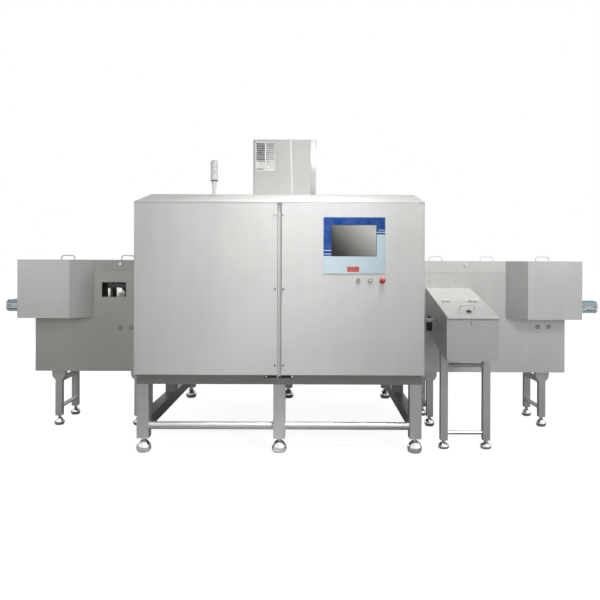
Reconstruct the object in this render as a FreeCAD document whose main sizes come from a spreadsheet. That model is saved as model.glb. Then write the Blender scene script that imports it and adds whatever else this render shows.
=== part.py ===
import FreeCAD, Part
import math
import os
import re

import Sketcher
from FreeCAD import Placement, Rotation, Vector

# X-ray inspection machine for filled bottles, in millimetres.
# X runs along the conveyor, Y from the operator's side to the back, Z up.
# The origin is on the floor under the front centre foot.

SIZES = {
    # Main frame of square tube under the cabinet
    "leg": 80,
    "leg_wall": 4,
    "leg_foot": 98,
    "beam_top": 545,
    "frame_width": 1918,
    "rail_top": 238,
    "cross_dia": 51,
    "cross_rise": 178,
    # Levelling feet
    "pad_dia": 100,
    "small_pad_dia": 78,
    "pad_edge": 8,
    "dome_rise": 72,
    "neck_dia": 52,
    "small_dome_rise": 44,
    "small_neck_dia": 38,
    "stud_dia": 20,
    "nut_dia": 34,
    "nut_rise": 14,
    # Cabinet shell
    "cabinet_width": 1940,
    "cabinet_depth": 1814,
    "shell_wall": 8,
    "rim_width": 30,
    "roof_lip": 8,
    "roof_rise": 96,
    "slope_run": 478,
    # Doors and rear panels
    "door_proud": 38,
    "door_thick": 34,
    "door_skin": 5,
    "door_frame": 24,
    "door_foot": 533,
    "door_top": 1683,
    "door_gap": 27,
    "seal_width": 12,
    "seal_thick": 3.7,
    "vent_width": 160,
    "vent_high": 8,
    "vent_pitch": 24,
    "screw_dia": 16,
    "screw_proud": 4,
    "screw_place": 28,
    "screw_low": 601,
    "screw_middle": 1108,
    "screw_high": 1611,
    # Door pivots at the top and bottom corners
    "pivot_dia": 10,
    "pivot_length": 30,
    "pivot_inset": 12,
    "pivot_back": 13,
    "pivot_plate": 10,
    "running": 0.05,
    "seat": 0.3,
    # Centre post between the doors
    "post_width": 60,
    "post_nose": 22,
    "post_deep": 40,
    "foot_plate": 206,
    "foot_plate_high": 20,
    "bolt_dia": 13,
    "bolt_rise": 6,
    "bolt_inset": 15,
    # Operator panel on the right door
    "panel_left": 291,
    "panel_width": 417,
    "panel_foot": 1212,
    "panel_high": 379,
    "panel_thick": 3,
    "screen_left": 345,
    "screen_width": 304,
    "screen_foot": 1327,
    "screen_high": 212,
    "screen_thick": 4,
    "computer_deep": 46,
    # Switches under the panel
    "switch_rise": 1167,
    "key_place": 527,
    "start_place": 607,
    "stop_place": 688,
    "switch_sleeve": 22,
    "switch_collar": 30,
    "collar_thick": 4,
    "plunger_dia": 18,
    "plunger_deep": 16,
    "contact_block": 30,
    "contact_deep": 34,
    "key_bow": 20,
    "button_proud": 5,
    "start_travel": 3,
    "stop_dia": 40,
    "stop_proud": 22,
    "stop_travel": 5,
    # Conveyor tunnels on both sides
    "tunnel_setback": 729,
    "tunnel_depth": 454,
    "tunnel_foot": 432,
    "tunnel_top": 1299,
    "sheet": 4,
    "left_reach": 1935,
    "right_reach": 2191,
    "lid_sheet": 3,
    "lid_skirt": 87,
    "lid_gap": 2,
    "left_lid_end": 1478,
    "right_lid_end": 1729,
    "window_left": 1418,
    "window_width": 189,
    "window_foot": 1010,
    "window_high": 115,
    "window_thick": 1.5,
    # Plugs and bolt heads on the tunnels' front walls
    "plug_dia": 27,
    "plug_proud": 3,
    "left_plug_outer": 1274,
    "left_plug_inner": 1190,
    "left_plug_rise": 770,
    "right_plug_inner": 1980,
    "right_plug_outer": 2067,
    "right_plug_rise": 788,
    "drain_place": 1367,
    "drain_rise": 522,
    "bracket_bolt_near": 1130,
    "bracket_bolt_far": 1337,
    "bracket_bolt_rise": 1139,
    # Transfer boxes with a bevel towards the cabinet
    "box_setback": 603,
    "box_foot": 854,
    "left_box_bevel": 1625,
    "left_box_end": 2021,
    "right_box_bevel": 1862,
    "right_box_end": 2275,
    "mouth_foot": 885,
    "mouth_top": 1240,
    # Lid hinges and lid locks
    "lid_pin": 6,
    "lid_barrel": 12,
    "lid_hinge": 40,
    "lid_hinge_inset": 60,
    "lid_lug": 12,
    "knob_dia": 26,
    "knob_proud": 14,
    "knob_shank": 8,
    "knob_slot": 12,
    "knob_drop": 31,
    "left_knob": 1271,
    "right_knob": 1417,
    # Lift handles
    "grip_width": 100,
    "grip_rise": 37,
    "grip_wire": 7,
    "grip_bend": 12,
    "grip_setback": 96,
    "left_lid_grip": 1243,
    "right_lid_grip_near": 1200,
    "right_lid_grip_far": 1606,
    "left_box_grip": 1670,
    "right_box_grip": 2003,
    # Conveyors
    "belt_width": 100,
    "belt_top": 995,
    "belt_loop": 90,
    "belt_thick": 18,
    "stub_setback": 620,
    "main_setback": 740,
    "infeed_outer": 2130,
    "infeed_inner": 1640,
    "outfeed_inner": 1880,
    "outfeed_outer": 2421,
    "main_left": 1920,
    "main_right": 2176,
    "bed_plate": 4,
    "bed_gap": 1,
    "bed_high": 42,
    "axle_dia": 20,
    "stay_width": 40,
    "rail_start": 1372,
    "rail_foot": 1078,
    "rail_high": 38,
    "rail_post": 16,
    # Shielded tunnel, generator and detector inside the cabinet
    "inner_front": 640,
    "inner_back": 862,
    "inner_foot": 850,
    "inner_top": 1286,
    "inner_wall": 6,
    "inner_leg": 60,
    "inner_leg_place": 720,
    "beam_place": 300,
    "beam_slot": 12,
    "generator_width": 360,
    "generator_front": 120,
    "generator_deep": 330,
    "generator_top": 1230,
    "horn_rise": 1080,
    "horn_wide": 200,
    "horn_mouth": 60,
    "detector_width": 120,
    "detector_deep": 130,
    "detector_top": 1400,
    # Electrics behind the right door
    "plate_left": 330,
    "plate_width": 540,
    "plate_front": 300,
    "plate_thick": 4,
    "plate_foot": 640,
    "plate_top": 1540,
    "plate_leg": 40,
    "module_deep": 70,
    "module_gap": 14,
    # Cooling unit on the roof
    "cooler_left": -228,
    "cooler_width": 473,
    "cooler_setback": 553,
    "cooler_deep": 450,
    "cooler_high": 422,
    "cooler_wall": 3,
    "cooler_round": 18,
    "cooler_seam": 60,
    "grille_left": -209,
    "grille_width": 149,
    "grille_foot": 1969,
    "grille_high": 219,
    "grille_frame": 7,
    "grille_slats": 9,
    "slat_thick": 1.5,
    "slat_deep": 14,
    "fan_dia": 132,
    "fan_hub": 42,
    "fan_deep": 22,
    "fan_behind": 40,
    "fan_blades": 5,
    "fan_shaft": 8,
    "fan_motor": 60,
    "fan_motor_deep": 50,
    # Signal tower
    "tower_place": -516,
    "tower_setback": 535,
    "tower_flange": 52,
    "tower_flange_rise": 18,
    "tower_pole": 36,
    "tower_pole_rise": 104,
    "tower_lens": 60,
    "tower_tier": 46,
    "tower_cap": 10,
    # Stands under the tunnels
    "stand_tube": 50,
    "stand_foot": 75,
    "stand_front": 790,
    "stand_spread": 346,
    "stand_far_left": -1768,
    "stand_near_left": -1148,
    "stand_near_right": 1150,
    "stand_far_right": 2031,
    "cup_width": 102,
    "cup_high": 74,
    "cup_round": 60,
    "stand_bar": 40,
    "stand_bar_rise": 374,
    "stand_cross_dia": 34,
    "stand_cross_rise": 140,
    # Reject box in front of the right tunnel
    "reject_left": 1110,
    "reject_width": 343,
    "reject_proud": 43,
    "reject_face_foot": 638,
    "reject_face_top": 933,
    "reject_back_foot": 776,
    "reject_back_top": 1086,
    "reject_sheet": 4,
    "reject_lid_run": 386,
    "reject_lip": 22,
    "reject_hinge_inset": 75,
    "lock_dia": 38,
    "lock_rise": 16,
    "lock_back": 115,
    "lock_shank": 14,
    "reject_grip_back": 165,
    "reject_leg_setback": 151,
    "reject_leg_foot": 60,
    "reject_upper_rise": 577,
    "reject_lower_rise": 109,
    "reject_cross_dia": 26,
    "catch_width": 24,
    "catch_high": 34,
    "catch_proud": 10,
    # Air regulator on the side of the reject box
    "air_back": 320,
    "air_body": 56,
    "air_foot": 796,
    "air_top": 904,
    "air_reach": 85,
    "air_bowl": 44,
    # Pusher behind the lane
    "push_width": 120,
    "push_high": 70,
    "push_thick": 10,
    "push_foot": 1012,
    "push_travel": 95,
    "push_rod": 16,
    "push_body": 50,
    "push_body_length": 190,
    "push_flange": 90,
    "push_flange_thick": 8,
    # Gear motor behind the right end of the lane
    "gear_box": 110,
    "motor_dia": 100,
    "motor_length": 150,
}

document = FreeCAD.newDocument("BottleInspection")
sheet = document.addObject("Spreadsheet::Sheet", "Sizes")
for row, (alias, size) in enumerate(SIZES.items(), start=1):
    sheet.set(f"A{row}", alias.replace("_", " "))
    sheet.set(f"B{row}", str(size))
    sheet.setAlias(f"B{row}", alias)
document.recompute()

WORD = re.compile(r"[a-z][a-z_]+")


def cells(formula):
    """The formula with each size written as its cell."""
    def cell(found):
        word = found.group()
        return f"Sizes.{word}" if word in SIZES else word
    return WORD.sub(cell, str(formula))


def value(formula):
    """What a formula of sizes comes to now."""
    return float(sheet.evalExpression(cells(formula)))


# Planes that more than one piece is set out from
DOOR_FACE = "(-leg / 2 - door_proud)"
SHELL_FRONT = "(-leg / 2)"
SHELL_REAR = f"({SHELL_FRONT} + cabinet_depth)"
HALF_WIDTH = "(cabinet_width / 2)"
SHELL_FLOOR = "(beam_top + shell_wall)"
ROOF_EDGE = "(door_top + roof_lip)"
ROOF_TOP = f"({ROOF_EDGE} + roof_rise)"
SHELL_SIDE = f"({HALF_WIDTH} - shell_wall)"
TUNNEL_FRONT = f"({DOOR_FACE} + tunnel_setback)"
TUNNEL_BACK = f"({TUNNEL_FRONT} + tunnel_depth)"
BOX_FRONT = f"({DOOR_FACE} + box_setback)"
LID_UNDER = "(tunnel_top - lid_sheet)"
WALL_TOP = f"({LID_UNDER} - seat)"
STUB_SIDE = f"({DOOR_FACE} + stub_setback)"
MAIN_SIDE = f"({DOOR_FACE} + main_setback)"
BELT_MIDDLE = "(belt_top - belt_loop / 2)"
BELT_INNER = "(belt_loop / 2 - belt_thick)"
BED_FOOT = f"({BELT_MIDDLE} - bed_high / 2)"
REJECT_FRONT = f"({DOOR_FACE} - reject_proud)"
REJECT_MIDDLE = "(reject_left + reject_width / 2)"
REJECT_RUN = f"({TUNNEL_FRONT} - {REJECT_FRONT})"
REJECT_SLOPE = f"((reject_back_top - reject_face_top) / {REJECT_RUN})"
REJECT_FALL = f"((reject_back_foot - reject_face_foot) / {REJECT_RUN})"
COOLER_FRONT = f"({DOOR_FACE} + cooler_setback)"
LID_AXIS_Y = f"({TUNNEL_BACK} + lid_barrel / 2 + seat)"
LID_AXIS_Z = "(tunnel_top - lid_barrel / 2)"

SIDES = {"left": -1, "right": 1}
SIGN = {-1: "-", 1: ""}
pieces = {}
cuts = []


def keep(label, thing):
    """Make a document object the sub-part of this name."""
    thing.Label = label
    pieces[label] = thing
    return thing


def circle(across, up, radius):
    return {"centre": (across, up), "radius": radius}


def rectangle(left, right, low, high):
    return [(left, low), (right, low), (right, high), (left, high)]


def regular(across, up, radius, sides):
    """A regular polygon about a centre, standing on a flat side."""
    corners = []
    for number in range(sides):
        angle = 2 * math.pi * (number + 0.5) / sides
        reach = [round(turn(angle), 6) for turn in (math.sin, math.cos)]
        corners.append((f"{across} + {reach[0]} * ({radius})", f"{up} + {reach[1]} * ({radius})"))
    return corners


def arc_between(start, end, radius):
    """The arc of this radius from start to end, to the left of the way if it is negative."""
    middle = (start + end) * 0.5
    along = end - start
    rise = math.sqrt(radius * radius - along.Length ** 2 / 4)
    side = Vector(-along.y, along.x, 0).normalize()
    centre = middle + side * (rise if radius > 0 else -rise)
    first, last = (start, end) if radius > 0 else (end, start)
    angles = [math.atan2(spot.y - centre.y, spot.x - centre.x) for spot in (first, last)]
    if angles[1] < angles[0]:
        angles[1] += 2 * math.pi
    return Part.ArcOfCircle(Part.Circle(centre, Vector(0, 0, 1), abs(radius)), *angles)


class Piece:
    """A body whose sketches and features are tied to the sheet of sizes."""

    def __init__(self, label):
        self.body = keep(label, document.addObject("PartDesign::Body", label))
        self.body.AllowCompound = True
        self.count = 0

    def origin(self, role):
        return [item for item in self.body.Origin.OriginFeatures if item.Role == role][0]

    def feature(self, kind, purpose):
        self.count += 1
        return self.body.newObject(kind, f"{self.body.Name}_{purpose}_{self.count}")

    def sketch(self, plane, place):
        """An empty sketch on an origin plane, moved along that plane's axis."""
        sketch = self.feature("Sketcher::SketchObject", "sketch")
        sketch.AttachmentSupport = [(self.origin(plane + "_Plane"), "")]
        sketch.MapMode = "FlatFace"
        towards = "-" if plane == "XZ" else ""
        sketch.setExpression("AttachmentOffset.Base.z", cells(f"{towards}({place})"))
        return sketch

    def tie(self, sketch, kind, geometry, point, formula):
        """Fix one coordinate of a point to a formula."""
        axis = {"DistanceX": -2, "DistanceY": -1}[kind]
        if abs(value(formula)) < 1e-6:
            sketch.addConstraint(Sketcher.Constraint("PointOnObject", geometry, point, axis))
            return
        distance = Sketcher.Constraint(kind, -1, 1, geometry, point, value(formula))
        number = sketch.addConstraint(distance)
        sketch.setExpression(f"Constraints[{number}]", cells(formula))

    def size(self, sketch, geometry, formula):
        """Fix the radius of a circle or an arc to a formula."""
        number = sketch.addConstraint(Sketcher.Constraint("Radius", geometry, value(formula)))
        sketch.setExpression(f"Constraints[{number}]", cells(formula))

    def draw(self, sketch, shape, closed=True):
        """Draw a circle or an outline. A third entry of a point is its arc's radius."""
        if isinstance(shape, dict):
            across, up = shape["centre"]
            centre = Vector(value(across), value(up), 0)
            round_edge = Part.Circle(centre, Vector(0, 0, 1), value(shape["radius"]))
            geometry = sketch.addGeometry(round_edge, False)
            self.tie(sketch, "DistanceX", geometry, 3, across)
            self.tie(sketch, "DistanceY", geometry, 3, up)
            self.size(sketch, geometry, shape["radius"])
            return
        spots = [Vector(value(point[0]), value(point[1]), 0) for point in shape]
        last = len(shape) if closed else len(shape) - 1
        ends = []
        for index in range(last):
            start, end = spots[index], spots[(index + 1) % len(shape)]
            point = shape[index]
            if len(point) == 3:
                radius = value(point[2])
                geometry = sketch.addGeometry(arc_between(start, end, radius), False)
                self.size(sketch, geometry, f"abs({point[2]})")
                ends.append((geometry, 1, 2) if radius > 0 else (geometry, 2, 1))
            else:
                geometry = sketch.addGeometry(Part.LineSegment(start, end), False)
                ends.append((geometry, 1, 2))
        for index in range(last if closed else last - 1):
            before, after = ends[index], ends[(index + 1) % last]
            joint = Sketcher.Constraint("Coincident", before[0], before[2], after[0], after[1])
            sketch.addConstraint(joint)
        for index, point in enumerate(shape):
            geometry, start, end = ends[index] if index < last else ends[-1]
            spot = start if index < last else end
            self.tie(sketch, "DistanceX", geometry, spot, point[0])
            self.tie(sketch, "DistanceY", geometry, spot, point[1])

    def profile(self, plane, place, shapes):
        sketch = self.sketch(plane, place)
        for shape in shapes:
            self.draw(sketch, shape)
        return sketch

    def pad(self, plane, start, length, *shapes):
        """Add material from a plane's place along its axis."""
        pad = self.feature("PartDesign::Pad", "pad")
        pad.Profile = self.profile(plane, start, shapes)
        pad.setExpression("Length", cells(length))
        pad.Reversed = plane == "XZ"
        return pad

    def pocket(self, plane, start, length, *shapes):
        """Take material away from a plane's place along its axis."""
        base = self.body.Tip
        pocket = self.feature("PartDesign::Pocket", "pocket")
        pocket.Profile = self.profile(plane, start, shapes)
        pocket.setExpression("Length", cells(length))
        pocket.Reversed = plane != "XZ"
        cuts.append((base, pocket))
        return pocket

    def turn(self, plane, place, axis, *shapes):
        """A full revolution about an axis of the sketch or the body."""
        solid = self.feature("PartDesign::Revolution", "turn")
        sketch = self.profile(plane, place, shapes)
        solid.Profile = sketch
        if axis in ("V_Axis", "H_Axis"):
            solid.ReferenceAxis = (sketch, [axis])
        else:
            solid.ReferenceAxis = (self.origin(axis), [""])
        solid.Angle = 360
        return solid

    def repeat(self, features, steps):
        """Repeat features along one or two axes: (axis, whole length, count) each."""
        patterns = []
        many = self.feature("PartDesign::MultiTransform", "repeat")
        many.Originals = features
        for axis, length, count in steps:
            pattern = self.feature("PartDesign::LinearPattern", "row")
            pattern.Direction = (self.origin(axis), [""])
            pattern.setExpression("Length", cells(length))
            pattern.setExpression("Occurrences", cells(count))
            patterns.append(pattern)
        many.Transformations = patterns
        self.body.Tip = many
        return many

    def soften(self, kind, formula, chosen):
        """Fillet or chamfer the edges of the tip that a test chooses."""
        document.recompute()
        base = self.body.Tip
        names = [
            f"Edge{number}" for number, edge in enumerate(base.Shape.Edges, start=1) if chosen(edge)
        ]
        soft = self.feature(f"PartDesign::{kind}", kind.lower())
        soft.Base = (base, names)
        soft.setExpression("Radius" if kind == "Fillet" else "Size", cells(formula))
        return soft

    def place(self, across="0", deep="0", up="0"):
        """Set where the body's own origin stands."""
        for letter, formula in zip("xyz", (across, deep, up)):
            self.body.setExpression(f"Placement.Base.{letter}", cells(formula))


def block(name, left, right, front, back, foot, top):
    """A box between six planes."""
    box = document.addObject("Part::Box", name)
    for side, low, high in (("Length", left, right), ("Width", front, back), ("Height", foot, top)):
        box.setExpression(side, cells(f"({high}) - ({low})"))
    for letter, low in zip("xyz", (left, front, foot)):
        box.setExpression(f"Placement.Base.{letter}", cells(low))
    return box


def taper(piece, first, second):
    """Join two outlines in parallel planes, each given as (plane, place, shape)."""
    loft = piece.feature("PartDesign::AdditiveLoft", "taper")
    loft.Profile = piece.profile(first[0], first[1], [first[2]])
    loft.Sections = [piece.profile(second[0], second[1], [second[2]])]
    loft.Ruled = True
    return loft


def drum(name, spot, radius, length, sides=12):
    """A bar along Y with flat sides, from a spot."""
    bar = document.addObject("Part::Prism", name)
    bar.Placement = Placement(Vector(), Rotation(Vector(1, 0, 0), -90))
    bar.Polygon = sides
    bar.setExpression("Circumradius", cells(radius))
    bar.setExpression("Height", cells(length))
    for letter, formula in zip("xyz", spot):
        bar.setExpression(f"Placement.Base.{letter}", cells(formula))
    return bar


def join(label, members):
    """One sub-part from touching or separate members."""
    whole = document.addObject("Part::MultiFuse", label)
    whole.Shapes = members
    whole.Refine = True
    return keep(label, whole)


def carve(label, base, tool):
    rest = document.addObject("Part::Cut", label)
    rest.Base = base
    rest.Tool = tool
    rest.Refine = True
    return keep(label, rest)


def tube(piece, plane, start, length, left, right, low, high, wall="leg_wall"):
    """A square tube along a plane's axis."""
    outer = rectangle(left, right, low, high)
    inner = rectangle(f"{left} + {wall}", f"{right} - {wall}", f"{low} + {wall}", f"{high} - {wall}")
    return piece.pad(plane, start, length, outer, inner)


# The square tube frame that carries the cabinet

FRAME_HALF = "(frame_width / 2)"
LEG_PLACES = (f"-{FRAME_HALF} + leg / 2", "0", f"{FRAME_HALF} - leg / 2")
BEAM_FOOT = "(beam_top - leg)"
REAR_LEG = f"({SHELL_REAR} - leg / 2)"


def around(middle, width):
    return f"({middle} - ({width}) / 2)", f"({middle} + ({width}) / 2)"


def frame_legs():
    legs = Piece("frame_legs")
    for middle in LEG_PLACES:
        for row in ("0", REAR_LEG):
            left, right = around(middle, "leg")
            front, back = around(row, "leg")
            tube(legs, "XY", "leg_foot", f"{BEAM_FOOT} - leg_foot", left, right, front, back)
            legs.pad("XY", "leg_foot", "leg_wall", rectangle(left, right, front, back))


def frame_beams():
    """Upper ring, lower side rails, short posts at mid depth and the round tubes front and rear."""
    beams = Piece("frame_beams")
    for front in (SHELL_FRONT, f"({SHELL_REAR} - leg)"):
        tube(
            beams, "YZ", f"-{FRAME_HALF}", "frame_width", front, f"{front} + leg", BEAM_FOOT,
            "beam_top",
        )
    inner_run = f"({SHELL_REAR} - {SHELL_FRONT} - 2 * leg)"
    inner_front = f"({SHELL_FRONT} + leg)"
    for middle in LEG_PLACES:
        left, right = around(middle, "leg")
        tube(beams, "XZ", inner_front, inner_run, left, right, BEAM_FOOT, "beam_top")
        if middle == "0":
            continue
        tube(beams, "XZ", inner_front, inner_run, left, right, "rail_top - leg", "rail_top")
        post_front, post_back = around(f"{SHELL_FRONT} + cabinet_depth / 2", "leg")
        tube(beams, "XY", "rail_top", f"{BEAM_FOOT} - rail_top", left, right, post_front, post_back)
    clear = "(frame_width / 2 - 1.5 * leg)"
    for row in ("0", REAR_LEG):
        for start in ("leg / 2", f"-leg / 2 - {clear}"):
            beams.pad("YZ", start, clear, regular(row, "cross_rise", "cross_dia / 2", 16))


def frame_feet():
    """Levelling feet: a cone on a flat pad, a hexagonal stud and a lock nut under each leg."""
    feet = Piece("frame_feet")
    edge = regular("0", "0", "pad_dia / 2", 16)
    pad = feet.pad("XY", "0", "pad_edge", edge)
    neck = regular("0", "0", "neck_dia / 2", 16)
    dome = taper(feet, ("XY", "pad_edge", edge), ("XY", "dome_rise", neck))
    stud = feet.pad("XY", "dome_rise", "leg_foot - dome_rise", regular("0", "0", "stud_dia / 2", 6))
    nut = feet.pad("XY", "leg_foot - nut_rise", "nut_rise", regular("0", "0", "nut_dia / 2", 6))
    rows = [("X_Axis", "frame_width - leg", 3), ("Y_Axis", REAR_LEG, 2)]
    feet.repeat([pad, dome, stud, nut], rows)
    feet.place(across=f"-{FRAME_HALF} + leg / 2")


# The shielded cabinet

def roof_outline(inset, front, rear, foot_plane, edge):
    """Side view of the cabinet, with the roof sloping up from both faces."""
    rise = f"({ROOF_TOP} - {inset})"
    low = f"({ROOF_EDGE} - {inset})"
    lip_front = f"({DOOR_FACE})"
    lip_rear = f"({SHELL_REAR} + door_proud)"
    if edge:
        return [
            (front, foot_plane), (rear, foot_plane), (rear, "door_top"), (lip_rear, "door_top"),
            (lip_rear, low), (f"{lip_rear} - slope_run", rise), (f"{lip_front} + slope_run", rise),
            (lip_front, low), (lip_front, "door_top"), (front, "door_top"),
        ]
    start = f"({low} + roof_rise * ({front} - {lip_front}) / slope_run)"
    return [
        (front, foot_plane), (rear, foot_plane), (rear, start),
        (f"{lip_rear} - slope_run", rise), (f"{lip_front} + slope_run", rise), (front, start),
    ]


def cabinet_shell():
    shell = Piece("cabinet_shell")
    outline = roof_outline("0", SHELL_FRONT, SHELL_REAR, "beam_top", edge=True)
    shell.pad("YZ", f"-{HALF_WIDTH}", "cabinet_width", outline)
    room = roof_outline(
        "shell_wall", f"({SHELL_FRONT} + shell_wall)", f"({SHELL_REAR} - shell_wall)",
        SHELL_FLOOR, edge=False
    )
    shell.pocket("YZ", f"-{SHELL_SIDE}", f"2 * {SHELL_SIDE}", room)
    opening = rectangle(
        f"-{HALF_WIDTH} + rim_width", f"{HALF_WIDTH} - rim_width",
        "beam_top + rim_width", "door_top - rim_width"
    )
    shell.pocket("XZ", SHELL_FRONT, "shell_wall", opening)
    shell.pocket("XZ", f"{SHELL_REAR} - shell_wall", "shell_wall", opening)
    duct = rectangle("inner_front", "inner_back", "inner_foot", "inner_top")
    shell.pocket("YZ", f"-{HALF_WIDTH}", "cabinet_width", duct)


def centre_post():
    """T-shaped post between the doors, with its foot plate bolted to the beam."""
    post = Piece("centre_post")
    left, right = around("0", "post_width")
    post.pad(
        "XZ", SHELL_FRONT, "post_deep",
        rectangle(left, right, "beam_top + rim_width", "door_top - rim_width"),
    )
    nose_left, nose_right = around("0", "post_nose")
    post.pad(
        "XZ", f"{SHELL_FRONT} - post_nose", "post_nose",
        rectangle(nose_left, nose_right, "door_foot - foot_plate_high / 2", "door_top"),
    )
    plate_left, plate_right = around("0", "foot_plate")
    plate = rectangle(
        plate_left, plate_right, "door_foot - 1.2 * foot_plate_high", "door_foot - seat * 10",
    )
    post.pad("XZ", f"{SHELL_FRONT} - sheet", "sheet", plate)
    for sign in ("", "-"):
        spot = (f"{sign}(foot_plate / 2 - bolt_inset)", "door_foot - 0.7 * foot_plate_high")
        bolt = regular(*spot, "bolt_dia / 2", 6)
        post.pad("XZ", f"{SHELL_FRONT} - sheet - bolt_rise", "bolt_rise", bolt)


def rear_panels():
    """Two bolted pans that close the back, each with a column of air slots."""
    panels = Piece("rear_panels")
    slots = []
    for sign in ("-", ""):
        inner = f"({sign}door_gap / 2)"
        outer = f"({sign}{HALF_WIDTH})"
        left, right = (outer, inner) if sign else (inner, outer)
        face = rectangle(left, right, "door_foot", "door_top - seat")
        panels.pad("XZ", SHELL_REAR, "door_proud", face)
        hollow = rectangle(
            f"{left} + door_frame", f"{right} - door_frame",
            "door_foot + door_frame", "door_top - door_frame"
        )
        panels.pocket("XZ", SHELL_REAR, "door_proud - door_skin", hollow)
        middle = f"(({left} + {right}) / 2)"
        slots.append(rectangle(
            f"{middle} - vent_width / 2", f"{middle} + vent_width / 2", "door_foot + 5 * vent_pitch",
            "door_foot + 5 * vent_pitch + vent_high",
        ))
    cut = panels.pocket("XZ", f"{SHELL_REAR} + door_proud - 2 * door_skin", "3 * door_skin", *slots)
    panels.repeat([cut], [("Z_Axis", "7 * vent_pitch", 8)])


# The two front doors, their hinges and seals

PIVOT_X = f"({HALF_WIDTH} - pivot_inset)"
PIVOT_Y = f"({DOOR_FACE} + pivot_back)"


def door_bores(door, sign):
    """Bores in the outer edge of a door, at its top and its foot, for the pivots of the frame."""
    bore = circle(f"{sign}{PIVOT_X}", PIVOT_Y, "pivot_dia / 2 + running")
    door.pocket("XY", "door_foot - 1", "pivot_length + 2", bore)
    door.pocket("XY", "door_top - pivot_length - 2", "pivot_length + 4", bore)


def door_pan(label, sign):
    """A folded pan, open at the back, with a softened front edge."""
    door = Piece(label)
    inner = f"({sign}door_gap / 2)"
    outer = f"({sign}{HALF_WIDTH})"
    left, right = (outer, inner) if sign else (inner, outer)
    door.pad("XZ", DOOR_FACE, "door_thick", rectangle(left, right, "door_foot", "door_top - seat"))
    door.soften(
        "Chamfer", "door_skin / 2", lambda edge: abs(edge.BoundBox.YMax - value(DOOR_FACE)) < 0.01,
    )
    hollow = rectangle(
        f"{left} + door_frame", f"{right} - door_frame", "door_foot + door_frame", "door_top - door_frame"
    )
    door.pocket("XZ", f"{DOOR_FACE} + door_skin", "door_thick - door_skin", hollow)
    door_bores(door, sign)
    return door


def door_seal(label, sign):
    """A flat rubber frame on the back of a door."""
    seal = Piece(label)
    inner = f"({sign}(door_gap / 2 + 4))"
    outer = f"({sign}({PIVOT_X} - 6))"
    left, right = (outer, inner) if sign else (inner, outer)
    low, high = "door_foot + rim_width / 2", "door_top - 8"
    seal.pad(
        "XZ", f"{DOOR_FACE} + door_thick", "seal_thick", rectangle(left, right, low, high),
        rectangle(
            f"{left} + seal_width", f"{right} - seal_width", f"{low} + seal_width",
            f"{high} - seal_width",
        ),
    )


SWITCH_PLACES = ("key_place", "start_place", "stop_place")


def right_door():
    door = door_pan("right_door", "")
    screen = rectangle(
        "screen_left - 4", "screen_left + screen_width + 4",
        "screen_foot - 4", "screen_foot + screen_high + 4"
    )
    door.pocket("XZ", f"{DOOR_FACE} - 1", "door_skin + 2", screen)
    holes = [regular(place, "switch_rise", "switch_sleeve / 2 + seat", 8) for place in SWITCH_PLACES]
    door.pocket("XZ", f"{DOOR_FACE} - 1", "door_skin + 2", *holes)


def operator_panel():
    """Printed front plate of the operator's computer, and its case behind the door."""
    panel = Piece("operator_panel")
    outer = rectangle("panel_left", "panel_left + panel_width", "panel_foot", "panel_foot + panel_high")
    panel.pad("XZ", f"{DOOR_FACE} - panel_thick", "panel_thick", outer)
    case = rectangle(
        "screen_left - 3", "screen_left + screen_width + 3",
        "screen_foot - 3", "screen_foot + screen_high + 3"
    )
    panel.pad("XZ", DOOR_FACE, "computer_deep + door_skin", case)
    window = rectangle(
        "screen_left", "screen_left + screen_width", "screen_foot", "screen_foot + screen_high",
    )
    panel.pocket("XZ", f"{DOOR_FACE} - panel_thick", "screen_thick + 1", window)


def touch_screen():
    screen = Piece("touch_screen")
    glass = rectangle(
        "screen_left + seat", "screen_left + screen_width - seat", "screen_foot + seat",
        "screen_foot + screen_high - seat",
    )
    screen.pad("XZ", f"{DOOR_FACE} - panel_thick + 1", "screen_thick", glass)


def button_collars():
    """Threaded collars through the door with their contact blocks behind it."""
    collars = Piece("button_collars")
    for place in SWITCH_PLACES:
        collars.pad(
            "XZ", f"{DOOR_FACE} - collar_thick", "collar_thick", regular(
                place, "switch_rise", "switch_collar / 2", 16,
            ),
        )
        collars.pad("XZ", DOOR_FACE, "door_skin", regular(place, "switch_rise", "switch_sleeve / 2", 8))
        left, right = around(place, "contact_block")
        low, high = around("switch_rise", "contact_block")
        collars.pad("XZ", f"{DOOR_FACE} + door_skin", "contact_deep", rectangle(left, right, low, high))
        bore = circle(place, "switch_rise", "plunger_dia / 2 + running")
        collars.pocket("XZ", f"{DOOR_FACE} - collar_thick - 1", "plunger_deep + collar_thick + 1", bore)


def key_switch():
    key = Piece("key_switch")
    key.pad(
        "XZ", f"{DOOR_FACE} - collar_thick - 2", "plunger_deep",
        circle("key_place", "switch_rise", "plunger_dia / 2"),
    )
    left, right = around("key_place", "3")
    low, high = around("switch_rise", "key_bow")
    key.pad(
        "XZ", f"{DOOR_FACE} - collar_thick - 2 - key_bow", "key_bow", rectangle(left, right, low, high),
    )


def start_button():
    button = Piece("start_button")
    button.pad(
        "XZ", f"{DOOR_FACE} - collar_thick - button_proud", "plunger_deep",
        circle("start_place", "switch_rise", "plunger_dia / 2"),
    )


def stop_button():
    """Mushroom head with flats on a round plunger."""
    button = Piece("emergency_stop")
    rim = regular("0", "0", "stop_dia / 2", 16)
    taper(
        button, ("XZ", "0", regular("0", "0", "stop_dia / 3", 16)), ("XZ", "stop_proud / 3", rim),
    )
    button.pad("XZ", "stop_proud / 3", "stop_proud / 3", rim)
    shank = circle("0", "0", "plunger_dia / 2")
    button.pad("XZ", "stop_proud / 3", "2 / 3 * stop_proud + plunger_deep - stop_travel - 1", shank)
    button.place("stop_place", f"{DOOR_FACE} - collar_thick - stop_proud", "switch_rise")


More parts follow.
